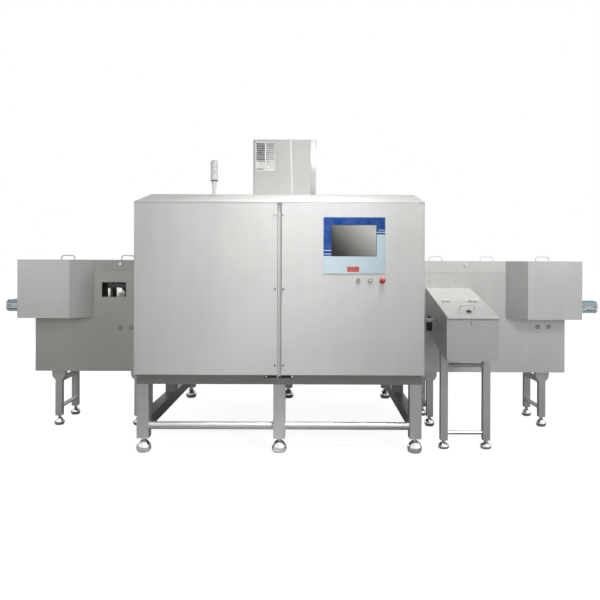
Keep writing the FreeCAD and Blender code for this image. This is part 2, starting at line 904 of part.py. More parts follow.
def door_pivots():
    """Pins under the roof's lip and on brackets at the beam, one above and one below each door."""
    pivots = Piece("door_pivots")
    for sign in ("-", ""):
        pin = circle(f"{sign}{PIVOT_X}", PIVOT_Y, "pivot_dia / 2")
        pivots.pad("XY", "door_top - pivot_length", "pivot_length", pin)
        pivots.pad("XY", "door_foot - seat", "pivot_length", pin)
        left, right = around(f"({sign}{PIVOT_X})", "1.8 * pivot_dia")
        plate = rectangle(left, right, f"{PIVOT_Y} - pivot_dia", SHELL_FRONT)
        pivots.pad("XY", "door_foot - seat - pivot_plate", "pivot_plate", plate)


# The conveyor tunnels and their lids

def tunnel(side):
    """A folded trough, open at the top and towards the cabinet."""
    sign = SIGN[SIDES[side]]
    reach = f"{side}_reach"
    body = Piece(f"{side}_tunnel")
    start = HALF_WIDTH if side == "right" else f"-{reach}"
    length = f"{reach} - {HALF_WIDTH}"
    outer = rectangle(TUNNEL_FRONT, TUNNEL_BACK, "tunnel_foot", WALL_TOP)
    body.pad("YZ", start, length, outer)
    room_start = HALF_WIDTH if side == "right" else f"-{reach} + sheet"
    room = rectangle(
        f"{TUNNEL_FRONT} + sheet", f"{TUNNEL_BACK} - sheet", "tunnel_foot + sheet", f"{WALL_TOP} + 1",
    )
    body.pocket("YZ", room_start, f"{length} - sheet", room)
    lane_inner = "infeed_inner" if side == "left" else "outfeed_inner"
    bounds = sorted([f"{sign}({lane_inner})", f"{sign}({reach} - 15)"], key=value)
    body.pocket("XZ", TUNNEL_FRONT, "sheet", rectangle(*bounds, "mouth_foot", "mouth_top"))
    knob = f"{sign}{side}_knob"
    left, right = around(knob, "knob_slot")
    body.pocket(
        "XZ", TUNNEL_FRONT, "sheet",
        rectangle(left, right, "tunnel_top - knob_drop - knob_slot / 2", f"{WALL_TOP} + 1"),
    )
    if side == "left":
        body.pocket("XZ", TUNNEL_FRONT, "sheet", rectangle(
            "-window_left", "-window_left + window_width", "window_foot", "window_foot + window_high",
        ))
    else:
        body.pocket("XZ", TUNNEL_FRONT, "sheet", rectangle(
            "reject_left + reject_sheet", "reject_left + reject_width - reject_sheet",
            "reject_back_foot + reject_sheet", "reject_back_top - reject_sheet",
        ))


def tunnel_window():
    window = Piece("tunnel_window")
    window.pad("XZ", f"{TUNNEL_FRONT} + sheet", "window_thick", rectangle(
        "-window_left - 12", "-window_left + window_width + 12", "window_foot - 12",
        "window_foot + window_high + 12",
    ))


def lift_grip(piece, middle, front, up, slope="0"):
    """A welded handle bent from round wire, above the plate at this place."""
    left, right = around(middle, "grip_width")
    crown = f"({up} + grip_rise - grip_wire / 2)"
    path = piece.sketch("XZ", front)
    base = f"({up} - lid_sheet / 2)"
    piece.draw(path, [
        (left, base),
        (left, f"{crown} - grip_bend"),
        (f"{left} + grip_bend", crown),
        (f"{right} - grip_bend", crown),
        (right, f"{crown} - grip_bend"),
        (right, base),
    ], closed=False)
    ring = piece.sketch("XY", base)
    piece.draw(ring, regular(left, front, "grip_wire / 2", 8))
    pipe = piece.feature("PartDesign::AdditivePipe", "grip")
    pipe.Profile = ring
    pipe.Spine = (path, [])
    pipe.Transition = "Right corner"
    return pipe


def lid_barrel(lid, left, right):
    """Barrel along the back edge of a lid, bored for the pin that the tunnel holds."""
    start = f"{left} + lid_hinge_inset"
    length = f"{right} - lid_hinge_inset - ({start})"
    lid.pad(
        "YZ", start, length,
        rectangle(f"{LID_AXIS_Y} - lid_barrel", LID_AXIS_Y, LID_UNDER, "tunnel_top"),
    )
    lid.pad("YZ", start, length, regular(LID_AXIS_Y, LID_AXIS_Z, "lid_barrel / 2", 8))
    lid.pocket("YZ", start, length, circle(LID_AXIS_Y, LID_AXIS_Z, "lid_pin / 2 + running"))


LID_EDGE = f"({LID_AXIS_Y} - lid_barrel / 2 - seat)"


def lid_bounds(side):
    """Left and right end of a tunnel lid."""
    near, far = f"{HALF_WIDTH} + lid_gap", f"{side}_lid_end - lid_gap / 2"
    return (f"(-({far}))", f"(-({near}))") if side == "left" else (f"({near})", f"({far})")


def tunnel_lid(side, grips):
    """Folded lid with a skirt over the front wall of the tunnel."""
    lid = Piece(f"{side}_lid")
    left, right = lid_bounds(side)
    skirt = f"({TUNNEL_FRONT} - seat - lid_sheet)"
    lid.pad("YZ", left, f"{right} - {left}", [
        (skirt, "tunnel_top - lid_skirt"),
        (f"{skirt} + lid_sheet", "tunnel_top - lid_skirt"),
        (f"{skirt} + lid_sheet", LID_UNDER),
        (LID_EDGE, LID_UNDER),
        (LID_EDGE, "tunnel_top"),
        (skirt, "tunnel_top"),
    ])
    sign = SIGN[SIDES[side]]
    hole = circle(f"{sign}{side}_knob", "tunnel_top - knob_drop", "knob_shank / 2 + running")
    lid.pocket("XZ", f"{skirt} - 1", "lid_sheet + 2", hole)
    lid_barrel(lid, left, right)
    for grip in grips:
        lift_grip(lid, f"{sign}{grip}", f"({TUNNEL_FRONT} + grip_setback)", "tunnel_top")


def box_outline(side, inset):
    """Plan of a transfer box, from its outer end round the bevel to the back of the tunnel."""
    sign = SIGN[SIDES[side]]
    end = f"({sign}({side}_box_end - {inset}))"
    bevel = f"({sign}({side}_box_bevel + {inset} * 0.4))"
    root = f"({sign}({side}_lid_end + {inset} * 1.3))"
    return end, bevel, root


def transfer_box(side):
    """Box over the place where bottles change lanes, open towards the tunnel."""
    sign = SIGN[SIDES[side]]
    box = Piece(f"{side}_transfer_box")
    end, bevel, root = box_outline(side, "0")
    reach = f"({sign}{side}_reach)"
    box.pad("XY", "box_foot", f"{LID_UNDER} - seat - box_foot", [
        (end, BOX_FRONT), (bevel, BOX_FRONT), (root, TUNNEL_FRONT), (reach, TUNNEL_FRONT),
        (reach, TUNNEL_BACK), (end, TUNNEL_BACK),
    ])
    end, bevel, root = box_outline(side, "sheet")
    box.pocket("XY", "box_foot + sheet", f"{LID_UNDER} - box_foot", [
        (end, f"{BOX_FRONT} + sheet"), (bevel, f"{BOX_FRONT} + sheet"), (root, TUNNEL_FRONT),
        (reach, TUNNEL_FRONT), (reach, f"{TUNNEL_BACK} - sheet"), (end, f"{TUNNEL_BACK} - sheet"),
    ])
    start = f"-{side}_box_end" if side == "left" else f"{side}_box_end - sheet"
    mouth = rectangle(
        f"{STUB_SIDE} - 7", f"{TUNNEL_FRONT} - 2", "mouth_foot", "mouth_top"
    )
    box.pocket("YZ", start, "sheet", mouth)


def box_lid(side):
    lid = Piece(f"{side}_box_lid")
    sign = SIGN[SIDES[side]]
    end, bevel, root = box_outline(side, "0")
    inner = f"({sign}({side}_lid_end + lid_gap / 2))"
    lid.pad("XY", LID_UNDER, "lid_sheet", [
        (end, BOX_FRONT), (bevel, BOX_FRONT), (inner, TUNNEL_FRONT), (inner, LID_EDGE), (end, LID_EDGE),
    ])
    left, right = (end, inner) if side == "left" else (inner, end)
    lid_barrel(lid, left, right)
    lift_grip(lid, f"{sign}{side}_box_grip", f"({BOX_FRONT} + grip_setback)", "tunnel_top")


def lid_hinges():
    """Two lugs behind each lid with the pin between them, on the tunnel's back."""
    hinges = Piece("lid_hinges")
    for side in SIDES:
        sign = SIGN[SIDES[side]]
        end, bevel, root = box_outline(side, "0")
        inner = f"({sign}({side}_lid_end + lid_gap / 2))"
        box_bounds = (end, inner) if side == "left" else (inner, end)
        for left, right in (lid_bounds(side), box_bounds):
            low = f"{left} + lid_hinge_inset - seat - lid_lug"
            high = f"{right} - lid_hinge_inset + seat"
            hinges.pad(
                "YZ", low, f"{high} + lid_lug - ({low})", circle(LID_AXIS_Y, LID_AXIS_Z, "lid_pin / 2"),
            )
            for start in (low, high):
                hinges.pad("YZ", start, "lid_lug", regular(LID_AXIS_Y, LID_AXIS_Z, "lid_barrel / 2", 8))
                lug = rectangle(TUNNEL_BACK, LID_AXIS_Y, f"{LID_AXIS_Z} - 2.5 * lid_barrel", LID_AXIS_Z)
                hinges.pad("YZ", start, "lid_lug", lug)


def lid_lock(side):
    """Slotted knob on the skirt, its shank in the slot of the tunnel's wall."""
    lock = Piece(f"{side}_lid_lock")
    sign = SIGN[SIDES[side]]
    spot = (f"{sign}{side}_knob", "tunnel_top - knob_drop")
    skirt = f"({TUNNEL_FRONT} - seat - lid_sheet)"
    lock.pad("XZ", f"{skirt} - seat - knob_proud", "knob_proud", regular(*spot, "knob_dia / 2", 12))
    shank = circle(*spot, "knob_shank / 2")
    lock.pad("XZ", f"{skirt} - seat", "lid_sheet + 2 * seat + sheet", shank)
    left, right = around(spot[0], "3")
    low, high = around(spot[1], "2 * knob_dia")
    lock.pocket(
        "XZ", f"{skirt} - knob_proud - 1", "knob_proud / 3 + 1", rectangle(left, right, low, high),
    )


# Conveyors: infeed, main lane and outfeed

LANES = {
    "infeed": ("(-infeed_outer)", "(-infeed_inner)", STUB_SIDE, -1),
    "main": ("(-main_left)", "(main_right)", MAIN_SIDE, 1),
    "outfeed": ("(outfeed_inner)", "(outfeed_outer)", STUB_SIDE, 1),
}


def loop_members(name, left, right, front, width, radius):
    """A long loop along X: a block between two twelve-sided ends."""
    spot_y = front
    return [
        block(f"{name}_run", f"{left} + belt_loop / 2", f"{right} - belt_loop / 2",
              front, f"{front} + {width}",
              f"{BELT_MIDDLE} - {radius}", f"{BELT_MIDDLE} + {radius}"),
        drum(f"{name}_left", (f"{left} + belt_loop / 2", spot_y, BELT_MIDDLE), radius, width),
        drum(f"{name}_right", (f"{right} - belt_loop / 2", spot_y, BELT_MIDDLE), radius, width),
    ]


def conveyor_belts():
    """Three closed loops of plate chain."""
    outer, inner = [], []
    for name, (left, right, front, drive) in LANES.items():
        outer += loop_members(f"{name}_belt", left, right, front, "belt_width", "(belt_loop / 2)")
        inner += loop_members(f"{name}_hollow", left, right, front, "belt_width", BELT_INNER)
    solid = document.addObject("Part::MultiFuse", "belt_outsides")
    solid.Shapes = outer
    hollow = document.addObject("Part::MultiFuse", "belt_insides")
    hollow.Shapes = inner
    carve("conveyor_belts", solid, hollow)


def drive_axle(name):
    """Where the drive roller of a lane turns, along X."""
    left, right, front, drive = LANES[name]
    return f"({right} - belt_loop / 2)" if drive > 0 else f"({left} + belt_loop / 2)"


STAYS = {
    "infeed": ("(-infeed_outer + 160)", "(-infeed_inner - 60)"),
    "main": (
        "(-1800)", "(-1100)", "(-inner_leg_place)", "(inner_leg_place)", "(1080)", "(1700)",
        "(main_right - 150)",
    ),
    "outfeed": ("(outfeed_inner + 60)", "(outfeed_outer - 200)"),
}


def conveyor_frames():
    """Side plates, bed and stays of each lane. The tail of each loop runs over a fixed nose."""
    frames = Piece("conveyor_frames")
    for name, (left, right, front, drive) in LANES.items():
        for plate in (f"({front} - bed_gap - bed_plate)", f"({front} + belt_width + bed_gap)"):
            frames.pad("XZ", plate, "bed_plate", rectangle(
                f"{left} + belt_loop / 4", f"{right} - belt_loop / 4", BED_FOOT,
                f"{BED_FOOT} + bed_high",
            ))
        bed_left = f"({left} + 1.2 * belt_loop)" if drive < 0 else f"({left} + belt_loop / 2)"
        bed_right = f"({right} - belt_loop / 2)" if drive < 0 else f"({right} - 1.2 * belt_loop)"
        inner = BELT_INNER
        frames.pad("XZ", f"{front} - bed_gap", "belt_width + 2 * bed_gap", rectangle(
            bed_left, bed_right, f"{BELT_MIDDLE} - {inner}", f"{BELT_MIDDLE} + {inner}",
        ))
        nose = bed_right if drive < 0 else bed_left
        frames.pad("XZ", front, "belt_width", regular(nose, BELT_MIDDLE, f"{inner} * 0.96", 12))
        floor = "(tunnel_foot + sheet)" if name == "main" else "(box_foot + sheet)"
        for stay in STAYS[name]:
            ground = "(inner_foot + inner_wall)" if "inner_leg" in stay else floor
            stay_left, stay_right = around(stay, "stay_width")
            for plate in (f"({front} - bed_gap - bed_plate)", f"({front} + belt_width + bed_gap)"):
                frames.pad("XZ", plate, "bed_plate", rectangle(stay_left, stay_right, ground, BED_FOOT))
        bore = circle(drive_axle(name), BELT_MIDDLE, "axle_dia / 2 + running")
        frames.pocket("XZ", f"{front} - 20", "belt_width + 40", bore)


def lane_roller(name):
    """Twelve-sided drive wheel of a lane's chain with its axle."""
    left, right, front, drive = LANES[name]
    roller = Piece(f"{name}_roller")
    drum_shape = regular("0", "0", f"{BELT_INNER} * 0.96 - seat", 12)
    roller.pad("XZ", "seat", "belt_width - 2 * seat", drum_shape)
    roller.pad(
        "XZ", "-bed_gap - bed_plate", "belt_width + 2 * bed_gap + 2 * bed_plate",
        circle("0", "0", "axle_dia / 2"),
    )
    roller.place(drive_axle(name), front, BELT_MIDDLE)


def guide_rails():
    """Bottle guides beside the main lane, open where bottles change lanes or are rejected."""
    rails = Piece("guide_rails")
    front = f"({MAIN_SIDE} - bed_gap - bed_plate)"
    back = f"({MAIN_SIDE} + belt_width + bed_gap)"
    reject_gap = "reject_width / 2 - 40"
    push_gap = "push_width / 2 + 15"
    runs = (
        (front, "-rail_start", f"{REJECT_MIDDLE} - ({reject_gap})"),
        (front, f"{REJECT_MIDDLE} + {reject_gap}", "outfeed_inner"),
        (back, "-main_left + 40", f"{REJECT_MIDDLE} - ({push_gap})"),
        (back, f"{REJECT_MIDDLE} + {push_gap}", "main_right - 60"),
    )
    for number, (plane, left, right) in enumerate(runs):
        rails.pad(
            "XZ", plane, "bed_plate", rectangle(left, right, "rail_foot", "rail_foot + rail_high"),
        )
        span = f"({right} - ({left}))"
        posts = 11 if number % 2 == 0 else 4
        post = rails.pad("XZ", plane, "bed_plate", rectangle(
            f"{left} + 20", f"{left} + 20 + rail_post", f"{BED_FOOT} + bed_high", "rail_foot",
        ))
        rails.repeat([post], [("X_Axis", f"{span} - 40 - rail_post", posts)])


def drive_motor():
    """Gear motor behind the right end of the main lane, on its own bracket."""
    middle = drive_axle("main")
    gear_front = f"({MAIN_SIDE} + belt_width + 2 * bed_gap + bed_plate)"
    motor = Piece("drive_motor")
    left, right = around(middle, "gear_box")
    low, high = around(BELT_MIDDLE, "gear_box")
    motor.pad("XZ", gear_front, "gear_box", rectangle(left, right, low, high))
    motor.pad(
        "XZ", f"{gear_front} + gear_box", "motor_length",
        regular(middle, BELT_MIDDLE, "motor_dia / 2", 12),
    )
    motor.pad("XZ", f"{gear_front} + gear_box / 4", "gear_box / 2", rectangle(
        f"{middle} - gear_box / 4", f"{middle} + gear_box / 4", "tunnel_foot + sheet", low,
    ))


# X-ray equipment inside the cabinet

def inner_tunnel():
    """Shielded tunnel through the cabinet, with a slot for the beam in both walls."""
    duct = Piece("inner_tunnel")
    duct.pad(
        "YZ", f"-{SHELL_SIDE}", f"2 * {SHELL_SIDE}",
        rectangle("inner_front", "inner_back", "inner_foot", "inner_top"),
    )
    duct.pocket("YZ", f"-{SHELL_SIDE}", f"2 * {SHELL_SIDE}", rectangle(
        "inner_front + inner_wall", "inner_back - inner_wall", "inner_foot + inner_wall",
        "inner_top - inner_wall",
    ))
    slot_left, slot_right = around("-beam_place", "beam_slot")
    slot = rectangle(slot_left, slot_right, "belt_top", "inner_top - 4 * inner_wall")
    duct.pocket("XZ", "inner_front", "inner_back - inner_front", slot)
    for sign in ("-", ""):
        left, right = around(f"({sign}inner_leg_place)", "inner_leg")
        duct.pad("XY", SHELL_FLOOR, f"inner_foot - {SHELL_FLOOR}", rectangle(
            left, right, "inner_front + inner_wall", "inner_back - inner_wall",
        ))


def xray_generator():
    """Upright generator with a horn that narrows to the beam slot."""
    generator = Piece("xray_generator")
    left, right = around("(-beam_place)", "generator_width")
    generator.pad("XY", SHELL_FLOOR, f"generator_top - {SHELL_FLOOR}", rectangle(
        left, right, "generator_front", "generator_front + generator_deep",
    ))
    generator.soften("Chamfer", "12", lambda edge: edge.BoundBox.ZLength > 100)
    back = "(generator_front + generator_deep)"
    wide_left, wide_right = around("(-beam_place)", "horn_wide")
    wide_low, wide_high = around("horn_rise", "horn_wide")
    slim_left, slim_right = around("(-beam_place)", "horn_mouth")
    taper(
        generator,
        ("XZ", back, rectangle(wide_left, wide_right, wide_low, wide_high)),
        ("XZ", "inner_front", rectangle(slim_left, slim_right, wide_low, wide_high)),
    )


def line_detector():
    """Upright detector column behind the tunnel, with a slot for the beam."""
    detector = Piece("line_detector")
    left, right = around("(-beam_place)", "detector_width")
    detector.pad("XY", SHELL_FLOOR, f"detector_top - {SHELL_FLOOR}", rectangle(
        left, right, "inner_back", "inner_back + detector_deep",
    ))
    slot_left, slot_right = around("(-beam_place)", "beam_slot")
    detector.pocket("XZ", "inner_back", "detector_deep / 2", rectangle(
        slot_left, slot_right, "belt_top", "inner_top - 4 * inner_wall",
    ))


def electrics_plate():
    plate = Piece("electrics_plate")
    left, right = "(plate_left)", "(plate_left + plate_width)"
    plate.pad("XZ", "plate_front", "plate_thick", rectangle(left, right, "plate_foot", "plate_top"))
    for edge in (left, f"({right} - plate_leg)"):
        plate.pad(
            "XZ", "plate_front + plate_thick", "plate_leg",
            rectangle(edge, f"{edge} + plate_leg", SHELL_FLOOR, "plate_top"),
        )


MODULE_ROWS = (
    ("plate_top - 60", "150", (0.22, 0.16, 0.30, 0.20)),
    ("plate_top - 300", "130", (0.40, 0.12, 0.12, 0.20)),
    ("plate_top - 520", "90", (0.10, 0.10, 0.10, 0.10, 0.10, 0.26)),
    ("plate_top - 700", "110", (0.34, 0.24, 0.26)),
)


def control_modules():
    """Drives, contactors and terminals in rows on the plate."""
    modules = Piece("control_modules")
    for top, high, shares in MODULE_ROWS:
        boxes = []
        left = "plate_left + 2 * module_gap"
        for share in shares:
            width = f"{share} * (plate_width - 10 * module_gap)"
            boxes.append(rectangle(f"{left}", f"{left} + {width}", f"{top} - {high}", top))
            left = f"{left} + {width} + module_gap"
        modules.pad("XZ", "plate_front - module_deep", "module_deep", *boxes)


# Cooling unit on the roof

def cooler_housing():
    housing = Piece("cooler_housing")
    left, right = "(cooler_left)", "(cooler_left + cooler_width)"
    back = f"({COOLER_FRONT} + cooler_deep)"
    housing.pad("XY", ROOF_TOP, "cooler_high", rectangle(left, right, COOLER_FRONT, back))
    housing.soften("Fillet", "cooler_round", lambda edge: edge.BoundBox.ZLength > 100)
    housing.pocket("XY", ROOF_TOP, "cooler_high - cooler_wall", rectangle(
        f"{left} + cooler_round / 2", f"{right} - cooler_round / 2", f"{COOLER_FRONT} + cooler_wall",
        f"{back} - cooler_wall",
    ))
    housing.pocket("XZ", f"{COOLER_FRONT} - 1", "cooler_wall + 2", rectangle(
        "grille_left", "grille_left + grille_width", "grille_foot", "grille_foot + grille_high",
    ))
    seam_left, seam_right = around("cooler_seam", "4")
    housing.pocket(
        "XZ", COOLER_FRONT, "cooler_wall / 2",
        rectangle(seam_left, seam_right, f"{ROOF_TOP} - 1", f"{ROOF_TOP} + cooler_high + 1"),
    )


def cooler_grille():
    """Louvre frame with a centre bar and slats."""
    grille = Piece("cooler_grille")
    left, right = "(grille_left + seat)", "(grille_left + grille_width - seat)"
    low, high = "(grille_foot + seat)", "(grille_foot + grille_high - seat)"
    hole = rectangle(
        f"{left} + grille_frame", f"{right} - grille_frame", f"{low} + grille_frame",
        f"{high} - grille_frame",
    )
    grille.pad("XZ", COOLER_FRONT, "slat_deep", rectangle(left, right, low, high), hole)
    bar_left, bar_right = around("(grille_left + grille_width / 2)", "grille_frame")
    grille.pad(
        "XZ", COOLER_FRONT, "slat_deep",
        rectangle(bar_left, bar_right, f"{low} + grille_frame", f"{high} - grille_frame"),
    )
    pitch = "((grille_high - 2 * grille_frame) / (grille_slats + 1))"
    first = f"({low} + grille_frame + {pitch})"
    slat = grille.pad("YZ", f"{left} + grille_frame", f"{right} - {left} - 2 * grille_frame", [
        (f"{COOLER_FRONT} + 1", first),
        (f"{COOLER_FRONT} + 1", f"{first} - slat_thick"),
        (f"{COOLER_FRONT} + slat_deep - 1", f"{first} + slat_deep / 2 - slat_thick"),
        (f"{COOLER_FRONT} + slat_deep - 1", f"{first} + slat_deep / 2"),
    ])
    grille.repeat([slat], [("Z_Axis", f"{pitch} * (grille_slats - 1)", "grille_slats")])


FAN_X = "(grille_left + grille_width / 2)"
FAN_Z = "(grille_foot + grille_high / 2)"
FAN_BACK = f"({COOLER_FRONT} + fan_behind + fan_deep)"


def cooler_fan():
    """Hub with pitched blades, on the motor's shaft."""
    fan = Piece("cooler_fan")
    fan.pad("XZ", "0", "fan_deep", regular("0", "0", "fan_hub / 2", 10))
    fan.pocket("XZ", "fan_deep / 3", "fan_deep", circle("0", "0", "fan_shaft / 2 + running"))
    blade = fan.pad("YZ", "fan_hub / 2 - 3", "(fan_dia - fan_hub) / 2 + 2", [
        ("2", "-fan_hub / 3"),
        ("4", "-fan_hub / 3"),
        ("fan_deep - 2", "fan_hub / 3"),
        ("fan_deep - 4", "fan_hub / 3"),
    ])
    ring = fan.feature("PartDesign::PolarPattern", "blades")
    ring.Originals = [blade]
    ring.Axis = (fan.origin("Y_Axis"), [""])
    ring.Angle = 360
    ring.setExpression("Occurrences", cells("fan_blades"))
    fan.body.Tip = ring
    fan.place(FAN_X, f"{COOLER_FRONT} + fan_behind", FAN_Z)


def fan_motor():
    """Motor with its shaft, on a cross bar between the housing's walls."""
    motor = Piece("fan_motor")
    front = f"({FAN_BACK} + 6)"
    motor.pad("XZ", front, "fan_motor_deep", regular(FAN_X, FAN_Z, "fan_motor / 2", 12))
    shaft_length = f"({front} - {COOLER_FRONT} - fan_behind - fan_deep / 3 - seat)"
    motor.pad("XZ", f"{front} - {shaft_length}", shaft_length, circle(FAN_X, FAN_Z, "fan_shaft / 2"))
    low, high = around(FAN_Z, "fan_motor / 3")
    motor.pad("XZ", f"{front} + fan_motor_deep / 2", "fan_motor_deep / 4", rectangle(
        "cooler_left + cooler_round / 2", "cooler_left + cooler_width - cooler_round / 2", low, high,
    ))


# Signal tower on the roof

def signal_tower():
    base = Piece("tower_base")
    base.pad("XY", "0", "tower_flange_rise", regular("0", "0", "tower_flange / 2", 16))
    taper(
        base,
        ("XY", "tower_flange_rise", regular("0", "0", "tower_pole / 2 - 3", 16)),
        ("XY", "tower_pole_rise", regular("0", "0", "tower_pole / 2 + 3", 16)),
    )
    base.pad("XY", "tower_pole_rise", "8", regular("0", "0", "tower_lens / 2 - 1", 16))
    base.place("tower_place", f"{DOOR_FACE} + tower_setback", ROOF_TOP)
    lens = Piece("tower_lenses")
    edge = regular("0", "0", "tower_lens / 2", 16)
    lens.pad("XY", "0", "3 * tower_tier", edge)
    crown = regular("0", "0", "tower_lens / 2 - tower_cap", 16)
    taper(lens, ("XY", "3 * tower_tier", edge), ("XY", "3 * tower_tier + tower_cap", crown))
    lens.place("tower_place", f"{DOOR_FACE} + tower_setback", f"{ROOF_TOP} + tower_pole_rise + 8")


# Stands under the tunnels

STAND_PLACES = ("stand_far_left", "stand_near_left", "stand_near_right", "stand_far_right")
STAND_ROWS = (f"({DOOR_FACE} + stand_front)", f"({DOOR_FACE} + stand_front + stand_spread)")


def tunnel_stands():
    """Two legs with cup brackets under each tunnel, tied by a bar and a round tube."""
    stands = Piece("tunnel_stands")
    for middle in STAND_PLACES:
        left, right = around(middle, "stand_tube")
        for row in STAND_ROWS:
            front, back = around(row, "stand_tube")
            cup_foot = "(tunnel_foot - cup_high)"
            stands.pad(
                "XY", "stand_foot", f"{cup_foot} - stand_foot", rectangle(left, right, front, back),
            )
            stands.pad("XZ", front, "stand_tube", [
                (left, cup_foot),
                (right, cup_foot, "cup_round"),
                (f"{middle} + cup_width / 2", "tunnel_foot - 10"),
                (f"{middle} + cup_width / 2", "tunnel_foot"),
                (f"{middle} - cup_width / 2", "tunnel_foot"),
                (f"{middle} - cup_width / 2", "tunnel_foot - 10", "cup_round"),
            ])
        first, second = STAND_ROWS
        start = f"({first} + stand_tube / 2)"
        run = "(stand_spread - stand_tube)"
        bar_left, bar_right = around(middle, "stand_bar / 2")
        low, high = around("(stand_bar_rise - stand_bar / 2)", "stand_bar")
        stands.pad("XZ", start, run, rectangle(bar_left, bar_right, low, high))
        stands.pad("XZ", start, run, regular(middle, "stand_cross_rise", "stand_cross_dia / 2", 12))


def stand_feet():
    """Feet of the tunnel stands and of the reject stand."""
    feet = Piece("stand_feet")
    places = [(place, row, "stand_foot") for place in STAND_PLACES for row in STAND_ROWS]
    places += [(place, f"({REJECT_LEG_FRONT} + stand_tube / 2)", "reject_leg_foot")
               for place in REJECT_LEGS]
    for place, row, top in places:
        edge = regular(place, row, "small_pad_dia / 2", 12)
        feet.pad("XY", "0", "pad_edge", edge)
        neck = regular(place, row, "small_neck_dia / 2", 12)
        taper(feet, ("XY", "pad_edge", edge), ("XY", "small_dome_rise", neck))
        stud = regular(place, row, "stud_dia / 2", 6)
        feet.pad("XY", "small_dome_rise", f"{top} - small_dome_rise", stud)


# Reject box, its lid, stand and pneumatics

REJECT_LEGS = ("(reject_left + stand_tube / 2)", "(reject_left + reject_width - stand_tube / 2)")
REJECT_LEG_FRONT = f"({DOOR_FACE} + reject_leg_setback)"
REJECT_AXIS_Y = f"({REJECT_FRONT} + reject_lid_run)"


def reject_top(deep):
    """Height of the reject box's sloping top at a place."""
    return f"(reject_face_top + {REJECT_SLOPE} * ({deep} - {REJECT_FRONT}))"


def reject_bottom(deep):
    return f"(reject_face_foot + {REJECT_FALL} * ({deep} - {REJECT_FRONT}))"


def reject_housing():
    """Folded chute with a sloping top and bottom, open to the tunnel and under its lid."""
    housing = Piece("reject_housing")
    housing.pad("YZ", "reject_left", "reject_width", [
        (REJECT_FRONT, "reject_face_foot"),
        (TUNNEL_FRONT, "reject_back_foot"),
        (TUNNEL_FRONT, "reject_back_top"),
        (REJECT_AXIS_Y, reject_top(REJECT_AXIS_Y)),
        (REJECT_AXIS_Y, f"{reject_top(REJECT_AXIS_Y)} - lid_sheet - seat"),
        (REJECT_FRONT, "reject_face_top - lid_sheet - seat"),
    ])
    inner_front = f"({REJECT_FRONT} + reject_sheet)"
    housing.pocket("YZ", "reject_left + reject_sheet", "reject_width - 2 * reject_sheet", [
        (inner_front, f"{reject_bottom(inner_front)} + reject_sheet"),
        (TUNNEL_FRONT, "reject_back_foot + reject_sheet"),
        (TUNNEL_FRONT, "reject_back_top - reject_sheet"),
        (REJECT_AXIS_Y, f"{reject_top(REJECT_AXIS_Y)} - reject_sheet - lid_sheet - seat"),
        (inner_front, f"{reject_top(inner_front)} - reject_sheet - lid_sheet - seat"),
    ])
    rim = "(4 * reject_sheet)"
    housing.pocket("XY", "reject_face_foot + 200", "500", rectangle(
        f"reject_left + {rim}", f"reject_left + reject_width - {rim}", f"{REJECT_FRONT} + {rim}",
        f"{REJECT_AXIS_Y} - {rim}",
    ))
    left, right = around(REJECT_MIDDLE, "catch_width")
    low, high = around("(reject_face_top - reject_lip - catch_high / 2 - 4)", "catch_high")
    housing.pad("XZ", f"{REJECT_FRONT} - catch_proud", "catch_proud", rectangle(left, right, low, high))


LID_TILT = f"atan({REJECT_SLOPE})"
LID_DROP = "(lid_barrel / 2 + 2 * seat)"
LID_RUN = f"(reject_lid_run / cos({LID_TILT}))"
LIP_INSIDE = f"({LID_RUN} + reject_lip * sin({LID_TILT}) + 2 * seat)"
REJECT_HINGES = ("(-reject_width / 2 + reject_hinge_inset)", "(reject_width / 2 - reject_hinge_inset)")


def lean(thing):
    """Stand a piece on the hinge line of the reject lid, sloping with the box's top."""
    thing.Placement = Placement(Vector(), Rotation(Vector(1, 0, 0), value(LID_TILT)))
    thing.setExpression("Placement.Rotation.Angle", cells(LID_TILT))
    thing.setExpression("Placement.Base.x", cells(REJECT_MIDDLE))
    thing.setExpression("Placement.Base.y", cells(f"{REJECT_AXIS_Y} - sin({LID_TILT}) * {LID_DROP}"))
    thing.setExpression(
        "Placement.Base.z", cells(f"{reject_top(REJECT_AXIS_Y)} + cos({LID_TILT}) * {LID_DROP}"),
    )


LOCK_Y = f"(-{LID_RUN} + lock_back)"


def reject_lid():
    """Front half of the reject box's top, in its own sloping frame, hinged at its back edge."""
    lid = Piece("reject_lid")
    lid.pad("YZ", "-reject_width / 2", "reject_width", [
        (f"-{LIP_INSIDE} - lid_sheet", f"-{LID_DROP} - reject_lip"),
        (f"-{LIP_INSIDE}", f"-{LID_DROP} - reject_lip"),
        (f"-{LIP_INSIDE}", f"-{LID_DROP} - lid_sheet"),
        ("-lid_gap", f"-{LID_DROP} - lid_sheet"),
        ("-lid_gap", f"-{LID_DROP}"),
        (f"-{LIP_INSIDE} - lid_sheet", f"-{LID_DROP}"),
    ])
    lid.pocket(
        "XY", f"-{LID_DROP} - 2 * lid_sheet", "3 * lid_sheet",
        circle("0", LOCK_Y, "lock_shank / 2 + running"),
    )
    for place in REJECT_HINGES:
        start = f"{place} - lid_hinge / 2"
        lid.pad(
            "YZ", start, "lid_hinge", rectangle("-1.5 * lid_barrel", "-lid_gap", f"-{LID_DROP}", "0"),
        )
        lid.pad("YZ", start, "lid_hinge", regular("0", "0", "lid_barrel / 2", 8))
        lid.pocket("YZ", start, "lid_hinge", circle("0", "0", "lid_pin / 2 + running"))
    lift_grip(lid, "0", f"-{LID_RUN} + reject_grip_back", f"(-{LID_DROP})")
    lean(lid.body)


